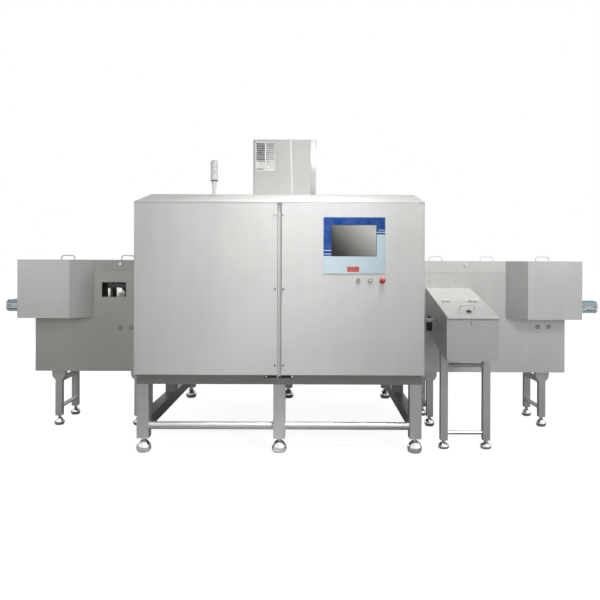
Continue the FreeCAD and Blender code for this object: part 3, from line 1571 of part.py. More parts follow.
def reject_hinges():
    """Lugs on the fixed half of the top with the pins of the lid."""
    hinges = Piece("reject_hinges")
    for place in REJECT_HINGES:
        low = f"{place} - lid_hinge / 2 - lid_lug - seat"
        hinges.pad("YZ", low, "lid_hinge + 2 * lid_lug + 2 * seat", circle("0", "0", "lid_pin / 2"))
        for start in (low, f"{place} + lid_hinge / 2 + seat"):
            hinges.pad(
                "YZ", start, "lid_lug", rectangle("lid_gap", "1.5 * lid_barrel", f"-{LID_DROP}", "0"),
            )
            hinges.pad("YZ", start, "lid_lug", regular("0", "0", "lid_barrel / 2", 8))
    lean(hinges.body)


def reject_lock():
    """Round lock in the reject lid, in the lid's sloping frame."""
    lock = Piece("reject_lock")
    face = f"(-{LID_DROP} + seat)"
    lock.pad("XY", face, "lock_rise", regular("0", LOCK_Y, "lock_dia / 2", 16))
    shank = circle("0", LOCK_Y, "lock_shank / 2")
    lock.pad("XY", f"-{LID_DROP} - lid_sheet - 5", "lid_sheet + seat + 5", shank)
    left, right = around("0", "5")
    slot = rectangle(left, right, f"{LOCK_Y} - lock_dia", f"{LOCK_Y} + lock_dia")
    lock.pocket("XY", f"{face} + lock_rise - 3", "4", slot)
    lean(lock.body)


def reject_stand():
    """Two legs cut to the slope of the box, tied by round tubes."""
    stand = Piece("reject_stand")
    front, back = REJECT_LEG_FRONT, f"({REJECT_LEG_FRONT} + stand_tube)"
    for middle in REJECT_LEGS:
        stand.pad("YZ", f"{middle} - stand_tube / 2", "stand_tube", [
            (front, "reject_leg_foot"), (back, "reject_leg_foot"), (back, reject_bottom(back)),
            (front, reject_bottom(front)),
        ])
    start = f"({REJECT_LEGS[0]} + stand_tube / 2)"
    for rise in ("reject_upper_rise", "reject_lower_rise"):
        bar = regular(f"{front} + stand_tube / 2", rise, "reject_cross_dia / 2", 12)
        stand.pad("YZ", start, "reject_width - 2 * stand_tube", bar)


def air_regulator():
    """Regulator with its bowl and dial knob, bolted to the side of the reject box."""
    air = Piece("air_regulator")
    middle = f"(reject_left - air_reach + air_body / 2)"
    deep = f"({DOOR_FACE} + air_back)"
    left, right = around(middle, "air_body")
    front, back = around(deep, "air_body")
    block_foot = "(air_foot + 0.45 * (air_top - air_foot))"
    block_top = "(air_foot + 0.8 * (air_top - air_foot))"
    air.pad(
        "XY", block_foot, f"{block_top} - {block_foot}", rectangle(left, "reject_left", front, back),
    )
    air.pad("XY", "air_foot", f"{block_foot} - air_foot", regular(middle, deep, "air_bowl / 2", 12))
    air.pad("XY", block_top, f"air_top - {block_top}", regular(middle, deep, "air_bowl / 2 - 4", 12))


PUSH_FACE = f"({MAIN_SIDE} + belt_width + bed_gap + bed_plate + 8)"
PUSH_BODY = f"({PUSH_FACE} + push_thick + 10)"
PUSH_RISE = "(push_foot + push_high / 2)"


def pusher_cylinder():
    """Air cylinder on its post behind the lane."""
    cylinder = Piece("pusher_cylinder")
    cylinder.pad("XZ", PUSH_BODY, "push_body_length", circle(REJECT_MIDDLE, PUSH_RISE, "push_body / 2"))
    left, right = around(REJECT_MIDDLE, "push_body")
    for plane in (PUSH_BODY, f"{PUSH_BODY} + push_body_length - push_flange_thick"):
        low = f"({PUSH_RISE} - push_body / 2 - 6)"
        cylinder.pad(
            "XZ", plane, "push_flange_thick",
            rectangle(left, right, low, f"{PUSH_RISE} + push_body / 2"),
        )
    foot_plane = "(tunnel_foot + sheet)"
    cylinder.pad("XZ", PUSH_BODY, "push_body_length", rectangle(
        f"{REJECT_MIDDLE} - 20", f"{REJECT_MIDDLE} + 20", foot_plane,
        f"{PUSH_RISE} - push_body / 2 - 6",
    ))
    bore = circle(REJECT_MIDDLE, PUSH_RISE, "push_rod / 2 + running")
    cylinder.pocket("XZ", f"{PUSH_BODY} - 1", "push_travel + 52", bore)


def pusher_rod():
    """Rod with the pad that pushes a bottle off the lane."""
    push = Piece("pusher_rod")
    left, right = around(REJECT_MIDDLE, "push_width")
    push.pad(
        "XZ", PUSH_FACE, "push_thick", rectangle(left, right, "push_foot", "push_foot + push_high"),
    )
    rod_end = circle(REJECT_MIDDLE, PUSH_RISE, "push_rod / 2")
    push.pad("XZ", f"{PUSH_FACE} + push_thick", "push_travel + 50", rod_end)


PLUGS = (
    ("-left_plug_outer", "left_plug_rise", "plug_dia"), (
        "-left_plug_inner", "left_plug_rise", "plug_dia",
    ),
    ("right_plug_inner", "right_plug_rise", "plug_dia"), (
        "right_plug_outer", "right_plug_rise", "plug_dia",
    ),
    ("-drain_place", "drain_rise", "bolt_dia"), ("bracket_bolt_near", "bracket_bolt_rise", "bolt_dia"),
    ("bracket_bolt_far", "bracket_bolt_rise", "bolt_dia"),
)


def face_plugs():
    """Blanking plugs and bolt heads on the front walls of the tunnels."""
    plugs = Piece("face_plugs")
    discs = [regular(across, rise, f"{width} / 2", 12) for across, rise, width in PLUGS]
    plugs.pad("XZ", f"{TUNNEL_FRONT} - plug_proud", "plug_proud", *discs)


def door_screws(side):
    """Three captive screws beside the inner edge of a door."""
    screws = Piece(f"{side}_door_screws")
    sign = SIGN[SIDES[side]]
    heads = [regular(f"{sign}screw_place", rise, "screw_dia / 2", 8) for rise in (
        "screw_low", "screw_middle", "screw_high",
    )]
    screws.pad("XZ", f"{DOOR_FACE} - screw_proud", "screw_proud", *heads)


def check_cuts():
    """Stop if a pocket took nothing away."""
    for base, cut in cuts:
        if cut.Shape.Volume > base.Shape.Volume - 0.01:
            raise RuntimeError(f"{cut.Name} cuts nothing")


def check_states():
    for item in document.Objects:
        if "Invalid" in item.State or "Error" in item.State:
            raise RuntimeError(f"{item.Name} is {item.State}")
    for label, item in pieces.items():
        if item.Shape.isNull() or not item.Shape.isValid():
            raise RuntimeError(f"{label} has no valid shape")


frame_legs()
frame_beams()
frame_feet()
cabinet_shell()
centre_post()
rear_panels()
door_pan("left_door", "-")
right_door()
door_seal("left_door_seal", "-")
door_seal("right_door_seal", "")
door_pivots()
operator_panel()
touch_screen()
button_collars()
key_switch()
start_button()
stop_button()
for side in SIDES:
    tunnel(side)
    transfer_box(side)
    box_lid(side)
    lid_lock(side)
    door_screws(side)
tunnel_lid("left", ["left_lid_grip"])
tunnel_lid("right", ["right_lid_grip_near", "right_lid_grip_far"])
tunnel_window()
lid_hinges()
face_plugs()
conveyor_belts()
conveyor_frames()
guide_rails()
for name in LANES:
    lane_roller(name)
drive_motor()
inner_tunnel()
xray_generator()
line_detector()
electrics_plate()
control_modules()
cooler_housing()
cooler_grille()
cooler_fan()
fan_motor()
signal_tower()
tunnel_stands()
stand_feet()
reject_housing()
reject_lid()
reject_hinges()
reject_lock()
reject_stand()
air_regulator()
pusher_cylinder()
pusher_rod()

document.recompute()
check_cuts()
check_states()
os.makedirs("parts", exist_ok=True)
for label, piece in pieces.items():
    piece.Shape.exportStep(f"parts/{label}.step")
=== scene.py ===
import math

import bmesh
import bpy
from mathutils import Matrix, Vector

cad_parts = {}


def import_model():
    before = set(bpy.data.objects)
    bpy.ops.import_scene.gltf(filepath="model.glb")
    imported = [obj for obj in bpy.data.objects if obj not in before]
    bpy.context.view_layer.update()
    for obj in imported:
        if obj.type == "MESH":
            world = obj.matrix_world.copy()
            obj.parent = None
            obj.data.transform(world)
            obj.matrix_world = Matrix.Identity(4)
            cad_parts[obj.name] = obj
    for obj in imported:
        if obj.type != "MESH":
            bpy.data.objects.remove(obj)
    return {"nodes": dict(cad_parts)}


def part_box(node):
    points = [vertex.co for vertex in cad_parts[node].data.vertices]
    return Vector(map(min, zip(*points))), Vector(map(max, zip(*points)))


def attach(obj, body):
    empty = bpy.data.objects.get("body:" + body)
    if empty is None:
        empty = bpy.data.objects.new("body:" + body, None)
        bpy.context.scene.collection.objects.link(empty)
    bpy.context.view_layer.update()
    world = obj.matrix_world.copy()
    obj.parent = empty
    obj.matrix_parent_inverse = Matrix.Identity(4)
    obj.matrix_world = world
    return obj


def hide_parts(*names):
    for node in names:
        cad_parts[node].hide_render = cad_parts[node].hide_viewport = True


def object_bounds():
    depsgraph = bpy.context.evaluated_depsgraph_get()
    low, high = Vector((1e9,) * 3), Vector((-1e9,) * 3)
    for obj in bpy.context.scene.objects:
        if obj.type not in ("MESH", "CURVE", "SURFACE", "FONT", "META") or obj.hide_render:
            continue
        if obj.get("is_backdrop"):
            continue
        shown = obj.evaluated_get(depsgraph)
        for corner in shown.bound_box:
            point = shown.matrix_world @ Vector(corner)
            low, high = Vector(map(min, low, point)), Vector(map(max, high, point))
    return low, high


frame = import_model()
cad_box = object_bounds()
scene = bpy.context.scene
MM = 0.001


# Node trees

def add_node(tree, kind, **values):
    made = tree.nodes.new(kind)
    for key, value in values.items():
        setattr(made, key, value)
    return made


def add_span(tree, value, low, high, first, last, **values):
    """Carry a value from one range over to another."""
    made = add_node(tree, "ShaderNodeMapRange", **values)
    tree.links.new(value, made.inputs["Value"])
    ends = {"From Min": low, "From Max": high, "To Min": first, "To Max": last}
    for name, number in ends.items():
        made.inputs[name].default_value = number
    return made.outputs["Result"]


class Look:
    """A procedural material that is built around one principled shader."""

    def __init__(self, name, colour, rough=0.5, metal=0.0):
        self.material = bpy.data.materials.new(name)
        self.material.use_nodes = True
        self.tree = self.material.node_tree
        self.shader = self.tree.nodes["Principled BSDF"]
        self.shader.inputs["Base Color"].default_value = (*colour, 1)
        self.shader.inputs["Roughness"].default_value = rough
        self.shader.inputs["Metallic"].default_value = metal
        self.place = self.node("ShaderNodeTexCoord").outputs["Object"]

    def node(self, kind, **values):
        return add_node(self.tree, kind, **values)

    def link(self, start, end):
        self.tree.links.new(start, end)

    def stretched(self, across, deep, up):
        mapping = self.node("ShaderNodeMapping")
        mapping.inputs["Scale"].default_value = (across, deep, up)
        self.link(self.place, mapping.inputs["Vector"])
        return mapping.outputs["Vector"]

    def noise(self, scale, detail, stretch=None):
        made = self.node("ShaderNodeTexNoise")
        made.inputs["Scale"].default_value = scale
        made.inputs["Detail"].default_value = detail
        made.inputs["Roughness"].default_value = 0.55
        self.link(self.stretched(*stretch) if stretch else self.place, made.inputs["Vector"])
        return made.outputs["Fac"]

    def axis(self, name):
        made = self.node("ShaderNodeSeparateXYZ")
        self.link(self.place, made.inputs["Vector"])
        return made.outputs[name]

    def math(self, operation, first, second=0.0, clamp=False):
        made = self.node("ShaderNodeMath", operation=operation, use_clamp=clamp)
        for socket, value in zip(made.inputs, (first, second)):
            if isinstance(value, (int, float)):
                socket.default_value = value
            else:
                self.link(value, socket)
        return made.outputs["Value"]

    def blend(self, first, share, second, other):
        """Sum of two values, each times its share."""
        return self.math(
            "ADD", self.math("MULTIPLY", first, share), self.math("MULTIPLY", second, other),
        )

    def span(self, value, low, high, first=0.0, last=1.0):
        return add_span(self.tree, value, low, high, first, last)

    def within(self, value, low, high):
        """One between two places, nought outside."""
        above = self.math("GREATER_THAN", value, low)
        below = self.math("LESS_THAN", value, high)
        return self.math("MULTIPLY", above, below)

    def mix(self, first, second, share):
        made = self.node("ShaderNodeMix", data_type="RGBA")
        for name, value in (("A", first), ("B", second)):
            socket = [s for s in made.inputs if s.name == name and s.type == "RGBA"][0]
            if isinstance(value, tuple):
                socket.default_value = (*value, 1)
            else:
                self.link(value, socket)
        factor = [s for s in made.inputs if s.name == "Factor" and s.type == "VALUE"][0]
        self.link(share, factor)
        return [s for s in made.outputs if s.type == "RGBA"][0]

    def base(self, colour):
        self.link(colour, self.shader.inputs["Base Color"])

    def roughness(self, value):
        self.link(value, self.shader.inputs["Roughness"])

    def bump(self, height, strength, distance):
        made = self.node("ShaderNodeBump")
        made.inputs["Strength"].default_value = strength
        made.inputs["Distance"].default_value = distance
        self.link(height, made.inputs["Height"])
        self.link(made.outputs["Normal"], self.shader.inputs["Normal"])


# Materials

UPRIGHT = (1.0, 1.0, 0.05)
ALONG = (0.05, 1.0, 1.0)


def shade(colour, factor):
    return tuple(min(1.0, channel * factor) for channel in colour)


def steel(name, colour, rough, metal, grain=None, blotch=0.06):
    """Stainless steel with a fine grain, faint blotches and handling marks."""
    look = Look(name, colour, rough, metal)
    broad = look.noise(scale=2.3, detail=3.0)
    streaks = look.noise(scale=9.0, detail=4.0, stretch=(1.0, 1.0, 0.12))
    marks = look.span(look.blend(broad, 0.6, streaks, 0.4), 0.35, 0.65)
    look.base(look.mix(shade(colour, 1 - blotch), shade(colour, 1 + blotch / 2), marks))
    fine = look.noise(scale=650.0 if grain else 900.0, detail=2.0, stretch=grain)
    spots = look.noise(scale=38.0, detail=5.0)
    look.roughness(look.math("ADD", look.blend(fine, 0.08, spots, 0.06), rough - 0.07))
    look.bump(fine, strength=0.12, distance=0.00025)
    return look.material


def plastic(name, colour, rough, spread=0.05):
    """Moulded plastic or paint with a light texture."""
    look = Look(name, colour, rough)
    cloud = look.noise(scale=18.0, detail=4.0)
    look.base(look.mix(shade(colour, 1 - spread), shade(colour, 1 + spread), cloud))
    fine = look.noise(scale=500.0, detail=3.0)
    look.roughness(look.span(fine, 0.3, 0.7, rough - 0.06, rough + 0.06))
    look.bump(fine, strength=0.15, distance=0.0002)
    return look.material


def belt_look():
    """Blue plastic of the slats, paler where it is worn."""
    look = Look("belt_blue", (0.33, 0.52, 0.62), 0.42)
    wear = look.noise(scale=30.0, detail=5.0, stretch=(0.3, 1.0, 1.0))
    look.base(look.mix((0.36, 0.64, 0.76), (0.62, 0.84, 0.92), wear))
    fine = look.noise(scale=420.0, detail=3.0)
    look.roughness(look.span(fine, 0.3, 0.7, 0.36, 0.5))
    look.bump(fine, strength=0.2, distance=0.0002)
    return look.material


def glass_look():
    """Clear dark sheet of the window with smears."""
    look = Look("window_glass", (0.05, 0.055, 0.055), 0.06)
    smear = look.noise(scale=7.0, detail=4.0)
    look.roughness(look.span(smear, 0.3, 0.7, 0.04, 0.12))
    look.base(look.mix((0.03, 0.035, 0.035), (0.09, 0.095, 0.09), smear))
    look.shader.inputs["Alpha"].default_value = 0.1
    return look.material


def lens_look():
    """Frosted white lens with fine upright ribs."""
    look = Look("lens_white", (0.86, 0.87, 0.86), 0.22)
    ribs = look.noise(scale=120.0, detail=2.0, stretch=(1.0, 1.0, 0.02))
    look.base(look.mix((0.88, 0.89, 0.88), (0.95, 0.96, 0.95), ribs))
    look.bump(ribs, strength=0.3, distance=0.0005)
    return look.material


DEEP_BLUE = (0.008, 0.055, 0.26)
PALE_PRINT = (0.52, 0.635, 0.69)
LINE_PRINT = (0.68, 0.76, 0.82)
TAB_RED = (0.54, 0.10, 0.075)
EDGE_PRINT = (0.50, 0.56, 0.60)
LEFT_BAND = (0.28, 0.345)
RIGHT_BAND = (0.648, 0.72)
PRINT_TOP = 1.6

# Each field of the print: its colour, left and right, and foot and top, in metres
PRINT_FIELDS = (
    (DEEP_BLUE, (LEFT_BAND[0], RIGHT_BAND[1]), (1.539, PRINT_TOP)),
    (DEEP_BLUE, LEFT_BAND, (1.330, PRINT_TOP)),
    (DEEP_BLUE, RIGHT_BAND, (1.474, PRINT_TOP)),
    (LINE_PRINT, LEFT_BAND, (1.364, 1.369)),
    (LINE_PRINT, LEFT_BAND, (1.341, 1.345)),
    (LINE_PRINT, RIGHT_BAND, (1.486, 1.491)),
    (LINE_PRINT, (0.66, RIGHT_BAND[1]), (1.502, 1.505)),
    (TAB_RED, (0.452, 0.532), (1.224, 1.259)),
)
PRINT_EDGE = ((0.2945, 0.7045), (1.2155, 1.5875))
SCREEN_EDGE = ((0.3485, 0.6455), (1.3305, 1.5355))


def panel_look():
    """Plain print of the operator panel: deep blue head and sides, pale foot, one red tab."""
    look = Look("panel_print", (0.56, 0.68, 0.75), 0.5)
    look.shader.inputs["Specular IOR Level"].default_value = 0.12
    across, up = look.axis("X"), look.axis("Z")

    def field(sides, ends):
        return look.math("MULTIPLY", look.within(across, *sides), look.within(up, *ends))

    colour = PALE_PRINT
    for print_colour, sides, ends in PRINT_FIELDS:
        colour = look.mix(colour, print_colour, field(sides, ends))
    colour = look.mix(EDGE_PRINT, colour, field(*PRINT_EDGE))
    cloud = look.noise(scale=12.0, detail=4.0)
    look.base(look.mix(colour, (0.9, 0.93, 0.95), look.span(cloud, 0.4, 0.75, 0.0, 0.07)))
    look.bump(look.noise(scale=700.0, detail=2.0), strength=0.1, distance=0.0001)
    return look.material


def screen_look():
    """Dark glass of the touch screen with a painted reflection, a pale sheen that grows from one
    corner to the other.
    """
    look = Look("screen_glass", (0.05, 0.05, 0.05), 0.3)
    look.shader.inputs["Specular IOR Level"].default_value = 0.2
    across, up = look.axis("X"), look.axis("Z")
    # Painted reflection: the base colour runs from near black to pale grey across the screen's face
    painted_reflection = look.span(look.blend(across, 0.75, up, 0.66), 1.175, 1.455)
    painted_reflection = look.math("POWER", painted_reflection, 1.45)
    cloud = look.noise(scale=5.0, detail=3.0)
    painted_reflection = look.math("ADD", painted_reflection, look.span(cloud, 0.3, 0.7, -0.03, 0.03), clamp=True)
    face = look.mix((0.026, 0.025, 0.023), (0.52, 0.52, 0.50), painted_reflection)
    sides, ends = SCREEN_EDGE
    inner = look.math("MULTIPLY", look.within(across, *sides), look.within(up, *ends))
    look.base(look.mix((0.03, 0.03, 0.03), face, inner))
    look.roughness(look.span(cloud, 0.3, 0.7, 0.25, 0.4))
    return look.material


SHELL_STEEL = steel("shell_steel", (0.61, 0.61, 0.60), 0.42, 0.68)
DOOR_STEEL = steel("door_steel", (0.685, 0.683, 0.673), 0.36, 0.46)
# Painted shade and light: the left and inner tunnels get a darker copy of the tunnel steel for the
# cabinet's shadow, the right tunnel a lighter copy for the light falling on it
SHADED_TUNNEL = steel("tunnel_steel", (0.49, 0.485, 0.465), 0.40, 0.65)
LIT_TUNNEL = steel("lit_tunnel_steel", (0.71, 0.705, 0.695), 0.40, 0.65)
CHUTE_STEEL = steel("chute_steel", (0.60, 0.596, 0.59), 0.38, 0.6)
BOX_STEEL = steel("box_steel", (0.72, 0.708, 0.70), 0.40, 0.65)
# Painted shade and light: the left lids get a darker copy of the lid steel for the cabinet's
# shadow, the right lids a lighter copy for the light falling on them
SHADED_LID = steel("lid_steel", (0.43, 0.427, 0.41), 0.38, 0.7)
LIT_LID = steel("lit_lid_steel", (0.76, 0.757, 0.745), 0.40, 0.65)
FRAME_STEEL = steel("frame_steel", (0.61, 0.607, 0.595), 0.34, 0.75, UPRIGHT)
BEAM_STEEL = steel("beam_steel", (0.28, 0.278, 0.268), 0.36, 0.75, ALONG)
TUBE_STEEL = steel("tube_steel", (0.48, 0.478, 0.47), 0.42, 0.75, ALONG)
POLISHED = steel("polished_steel", (0.74, 0.74, 0.74), 0.14, 1.0, blotch=0.03)
BRIGHT = steel("bright_steel", (0.80, 0.80, 0.79), 0.25, 0.95, blotch=0.03)
COOLER_STEEL = steel("cooler_steel", (0.53, 0.53, 0.52), 0.42, 0.7)
# Lighter than the cooler's steel: partly a painted highlight on the cooler's rounded corner
CORNER_HIGHLIGHT_STEEL = steel("corner_highlight_steel", (0.62, 0.62, 0.61), 0.48, 0.5)
LOUVRE_STEEL = steel("louvre_steel", (0.70, 0.70, 0.69), 0.42, 0.7)
RAIL_STEEL = steel("rail_steel", (0.10, 0.10, 0.10), 0.4, 0.8)
ZINC = steel("plate_zinc", (0.55, 0.56, 0.58), 0.45, 0.7)
BLACK = plastic("black_plastic", (0.022, 0.022, 0.023), 0.35)
RUBBER = plastic("seal_rubber", (0.035, 0.035, 0.035), 0.7)
GREY_PLASTIC = plastic("grey_plastic", (0.42, 0.43, 0.43), 0.45)
WHITE_PLASTIC = plastic("white_plastic", (0.84, 0.84, 0.83), 0.35)
UNIT_PAINT = plastic("unit_paint", (0.52, 0.54, 0.56), 0.4)
MOTOR_PAINT = plastic("motor_paint", (0.20, 0.22, 0.24), 0.45)
RED = plastic("stop_red", (0.56, 0.085, 0.065), 0.45)
PALE_BLUE = plastic("pale_blue", (0.62, 0.76, 0.83), 0.4)
CAP_WHITE = plastic("start_cap", (0.72, 0.73, 0.72), 0.3)
BELT = belt_look()
GLASS = glass_look()
LENS = lens_look()
PANEL = panel_look()
SCREEN = screen_look()

# Nodes that are in none of these lists are polished
LOOKS = (
    (SHELL_STEEL, ("cabinet_shell", "centre_post")),
    (DOOR_STEEL, ("left_door", "right_door", "rear_panels")),
    (SHADED_TUNNEL, ("left_tunnel", "inner_tunnel")),
    (LIT_TUNNEL, ("right_tunnel",)),
    (CHUTE_STEEL, ("reject_housing", "reject_lid")),
    (BOX_STEEL, ("left_transfer_box", "right_transfer_box")),
    (SHADED_LID, ("left_lid", "left_box_lid")),
    (LIT_LID, ("right_lid", "right_box_lid")),
    (FRAME_STEEL, ("frame_legs", "tunnel_stands", "reject_stand")),
    (BEAM_STEEL, ("frame_beams",)),
    (BRIGHT, ("conveyor_frames", "pusher_cylinder", "pusher_rod")),
    (COOLER_STEEL, ("cooler_housing", "cooler_grille")),
    (RAIL_STEEL, ("guide_rails",)),
    (ZINC, ("electrics_plate",)),
    (BLACK, ("button_collars", "reject_lock", "cooler_fan")),
    (RUBBER, ("left_door_seal", "right_door_seal")),
    (GREY_PLASTIC, (
        "control_modules", "air_regulator", "infeed_roller", "main_roller", "outfeed_roller",
    )),
    (WHITE_PLASTIC, ("tower_base",)),
    (UNIT_PAINT, ("xray_generator", "line_detector")),
    (MOTOR_PAINT, ("drive_motor", "fan_motor")),
    (RED, ("emergency_stop",)),
    (CAP_WHITE, ("start_button",)),
    (BELT, ("conveyor_belts",)),
    (GLASS, ("tunnel_window",)),
    (LENS, ("tower_lenses",)),
    (PANEL, ("operator_panel",)),
    (SCREEN, ("touch_screen",)),
)
look_of = {name: material for material, names in LOOKS for name in names}
for name, node in frame["nodes"].items():
    node.data.materials.clear()
    node.data.materials.append(look_of.get(name, POLISHED))


# Pieces

THIN_SHEET = 0.8


def piece(name, mesh, material, body, stands_for=(), bevel=0.0, angle=30.0):
    """Make an object of a mesh in frame millimetres, and let it ride on a body."""
    data = bpy.data.meshes.new(name)
    bmesh.ops.scale(mesh, vec=(MM, MM, MM), verts=mesh.verts)
    bmesh.ops.recalc_face_normals(mesh, faces=mesh.faces)
    for face in mesh.faces:
        face.smooth = True
    for edge in mesh.edges:
        if len(edge.link_faces) == 2 and edge.calc_face_angle(0) > math.radians(angle):
            edge.smooth = False
    mesh.to_mesh(data)
    mesh.free()
    made = bpy.data.objects.new(name, data)
    scene.collection.objects.link(made)
    data.materials.append(material)
    if bevel:
        modifier = made.modifiers.new("edge", "BEVEL")
        modifier.width = bevel * MM
        modifier.segments = 2
        modifier.limit_method = "ANGLE"
        modifier.harden_normals = True
    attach(made, body)
    for node in stands_for:
        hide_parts(node)
    return made


def block_into(mesh, place, size, shift=(0, 0, 0)):
    """Add a block of a size at a turned place."""
    matrix = place @ Matrix.Translation(shift) @ Matrix.Diagonal((*size, 1))
    bmesh.ops.create_cube(mesh, size=1.0, matrix=matrix)


def box_into(mesh, left, right, front, back, foot, top):
    """Add a block given by its six planes."""
    middle = ((left + right) / 2, (front + back) / 2, (foot + top) / 2)
    size = (abs(right - left), abs(back - front), abs(top - foot))
    block_into(mesh, Matrix.Translation(middle), size)


def spin_into(mesh, outline, middle, axis="Z", steps=40):
    """Turn an outline of (radius, height) pairs about an axis through a middle."""
    rings = []
    for radius, height in outline:
        ring = []
        for number in range(steps if radius > 1e-6 else 1):
            angle = 2 * math.pi * number / steps
            a, b = radius * math.cos(angle), radius * math.sin(angle)
            spot = {"Z": (a, b, height), "Y": (a, height, b), "X": (height, a, b)}[axis]
            ring.append(mesh.verts.new(Vector(middle) + Vector(spot)))
        rings.append(ring)
    for low, high in zip(rings, rings[1:]):
        for number in range(steps):
            after = (number + 1) % steps
            corners = [low[number % len(low)], low[after % len(low)],
                       high[after % len(high)], high[number % len(high)]]
            corners = list(dict.fromkeys(corners))
            if len(corners) > 2:
                mesh.faces.new(corners)
    for ring in (rings[0], rings[-1]):
        if len(ring) > 2:
            mesh.faces.new(ring)


def sheet_into(mesh, outline, front, back):
    """A flat sheet parallel to the front, given by its outline of (across, up) pairs."""
    near = [mesh.verts.new((across, front, up)) for across, up in outline]
    far = [mesh.verts.new((across, back, up)) for across, up in outline]
    mesh.faces.new(near)
    mesh.faces.new(list(reversed(far)))
    for number in range(len(near)):
        after = (number + 1) % len(near)
        mesh.faces.new([near[number], near[after], far[after], far[number]])


def curved_plate(name, places, material):
    """A thin upright plate through places given as (across, deep, foot, top)."""
    mesh = bmesh.new()
    rows = [
        [mesh.verts.new((across, deep, up)) for up in (foot, top)]
        for across, deep, foot, top in places
    ]
    for first, last in zip(rows, rows[1:]):
        mesh.faces.new([first[0], last[0], last[1], first[1]])
    solid = piece(name, mesh, material, "machine").modifiers.new("sheet", "SOLIDIFY")
    solid.thickness = THIN_SHEET * MM


def planes_of(node):
    """Left, right, foot and top planes of a node."""
    low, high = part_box(node)
    return low[0] * 1000, high[0] * 1000, low[2] * 1000, high[2] * 1000


# Levelling feet

BELL = (
    (0.70, 0.0), (0.80, 0.02), (0.93, 0.13), (0.985, 0.25), (1.0, 0.37), (0.98, 0.49),
    (0.91, 0.62), (0.79, 0.75), (0.62, 0.87), (0.44, 0.95), (0.32, 0.99),
)
NECK = 15


def spots_of(node, reach):
    """Middle and top of each separate foot in a node; its points lie within a reach."""
    spots = {}
    for vert in frame["nodes"][node].data.vertices:
        across, deep, up = vert.co * 1000
        found = (across, deep)
        for key in spots:
            if abs(key[0] - across) < reach and abs(key[1] - deep) < reach:
                found = key
        spots.setdefault(found, []).append((across, deep, up))
    for points in spots.values():
        xs, ys, zs = zip(*points)
        yield (min(xs) + max(xs)) / 2, (min(ys) + max(ys)) / 2, max(zs)


def feet(name, node, reach, pad, stud, nut):
    """Rounded bells with a stud and a lock nut; pad, stud and nut are radii."""
    mesh = bmesh.new()
    for across, deep, top in spots_of(node, reach):
        dome = top - NECK
        outline = [(0, 0)] + [(pad * wide, dome * high) for wide, high in BELL]
        outline += [(stud + 4, dome), (stud + 4, dome + 2), (stud, dome + 3), (stud, top), (0, top)]
        spin_into(mesh, outline, (across, deep, 0), steps=48)
        hexagon = [(0, top - 9), (nut - 1, top - 9), (nut, top - 8), (nut, top - 1), (0, top - 1)]
        spin_into(mesh, hexagon, (across, deep, 0), steps=6)
    piece(name, mesh, POLISHED, "machine", [node], angle=50)


feet("cabinet_feet", "frame_feet", reach=130, pad=49.5, stud=10, nut=17)
feet("small_feet", "stand_feet", reach=110, pad=38.5, stud=9, nut=14)


# Signal tower

TIERS = 3
CAP_RISE = 16


def tower():
    """Pole, collar and three-tier lens of the signal tower."""
    low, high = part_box("tower_base")
    across, deep = ((low + high) / 2 * 1000)[:2]
    middle = (across, deep, 0)
    foot, top = planes_of("tower_base")[2:]
    mesh = bmesh.new()
    spin_into(mesh, [
        (0, foot), (27, foot), (27, foot + 3), (21, foot + 6), (14, foot + 8), (13.5, foot + 24),
        (18.5, top - 26), (19, top - 14), (26, top - 9), (26, top), (0, top),
    ], middle)
    piece("tower_pole", mesh, WHITE_PLASTIC, "machine", ["tower_base"])
    mesh = bmesh.new()
    spin_into(mesh, [
        (0, top - 8), (26.8, top - 8), (27.4, top - 7), (27.4, top - 3), (26.8, top - 2),
        (0, top - 2),
    ], middle)
    piece("tower_collar", mesh, BLACK, "machine")
    foot, top = planes_of("tower_lenses")[2:]
    tier = (top - foot - CAP_RISE) / TIERS
    outline = [(0, foot), (27, foot)]
    for number in range(TIERS):
        base = foot + number * tier
        outline += [(28, base + 1.5), (28, base + tier - 1.5), (27.3, base + tier)]
    outline += [(27.3, top - 15), (25, top - 9), (20, top - 2), (17, top), (0, top)]
    mesh = bmesh.new()
    spin_into(mesh, outline, middle, steps=48)
    piece("tower_lens", mesh, LENS, "machine", ["tower_lenses"])


tower()


# Round tubes of the frame

CROSS_RISE = 178
TUBE_RADIUS = 26
TUBE_SPANS = ((-880, -40), (40, 880))
REAR_INSET = 40


def tubes():
    """Round tubes over the cross bars of the cabinet's frame."""
    mesh = bmesh.new()
    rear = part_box("frame_beams")[1][1] * 1000 - REAR_INSET
    for row in (0, rear):
        for left, right in TUBE_SPANS:
            outline = [(TUBE_RADIUS, left), (TUBE_RADIUS, right)]
            spin_into(mesh, outline, (0, row, CROSS_RISE), "X")
    piece("cross_tubes", mesh, TUBE_STEEL, "machine", angle=60)


tubes()


# Slat belts

SIDE_LANE = (543, 641)
MAIN_LANE = (663, 761)
SLAT_PITCH = 25.4
LANE_CORNER = 16
LANE_FOOT, LANE_TOP = 911, 989
SLAT_ROOM = 6

# Each part of a slat: half its width, inset at its ends, foot and top
SLAT_PARTS = ((11.8, 0, 0, 6), (10.4, 0, -15, 0), (3, 1, 6, 6.8))


def track(left, right):
    """Places and turns of the slats round a lane, as (across, up, angle) at even steps."""
    corner = LANE_CORNER
    flat, rise = right - left - 2 * corner, LANE_TOP - LANE_FOOT - 2 * corner
    bend = math.pi * corner / 2
    runs = [flat, bend, rise, bend, flat, bend, rise, bend]
    count = round(sum(runs) / SLAT_PITCH)
    step = sum(runs) / count
    for number in range(count):
        along = number * step
        across, up, way = left + corner, LANE_TOP, 0.0
        for turn, length in enumerate(runs):
            part = min(along, length)
            if turn % 2:
                middle = (across - corner * math.sin(way), up - corner * math.cos(way))
                way += part / corner
                across = middle[0] + corner * math.sin(way)
                up = middle[1] + corner * math.cos(way)
            else:
                across, up = across + part * math.cos(way), up - part * math.sin(way)
            along -= part
            if along <= 0:
                break
        yield across, up, way


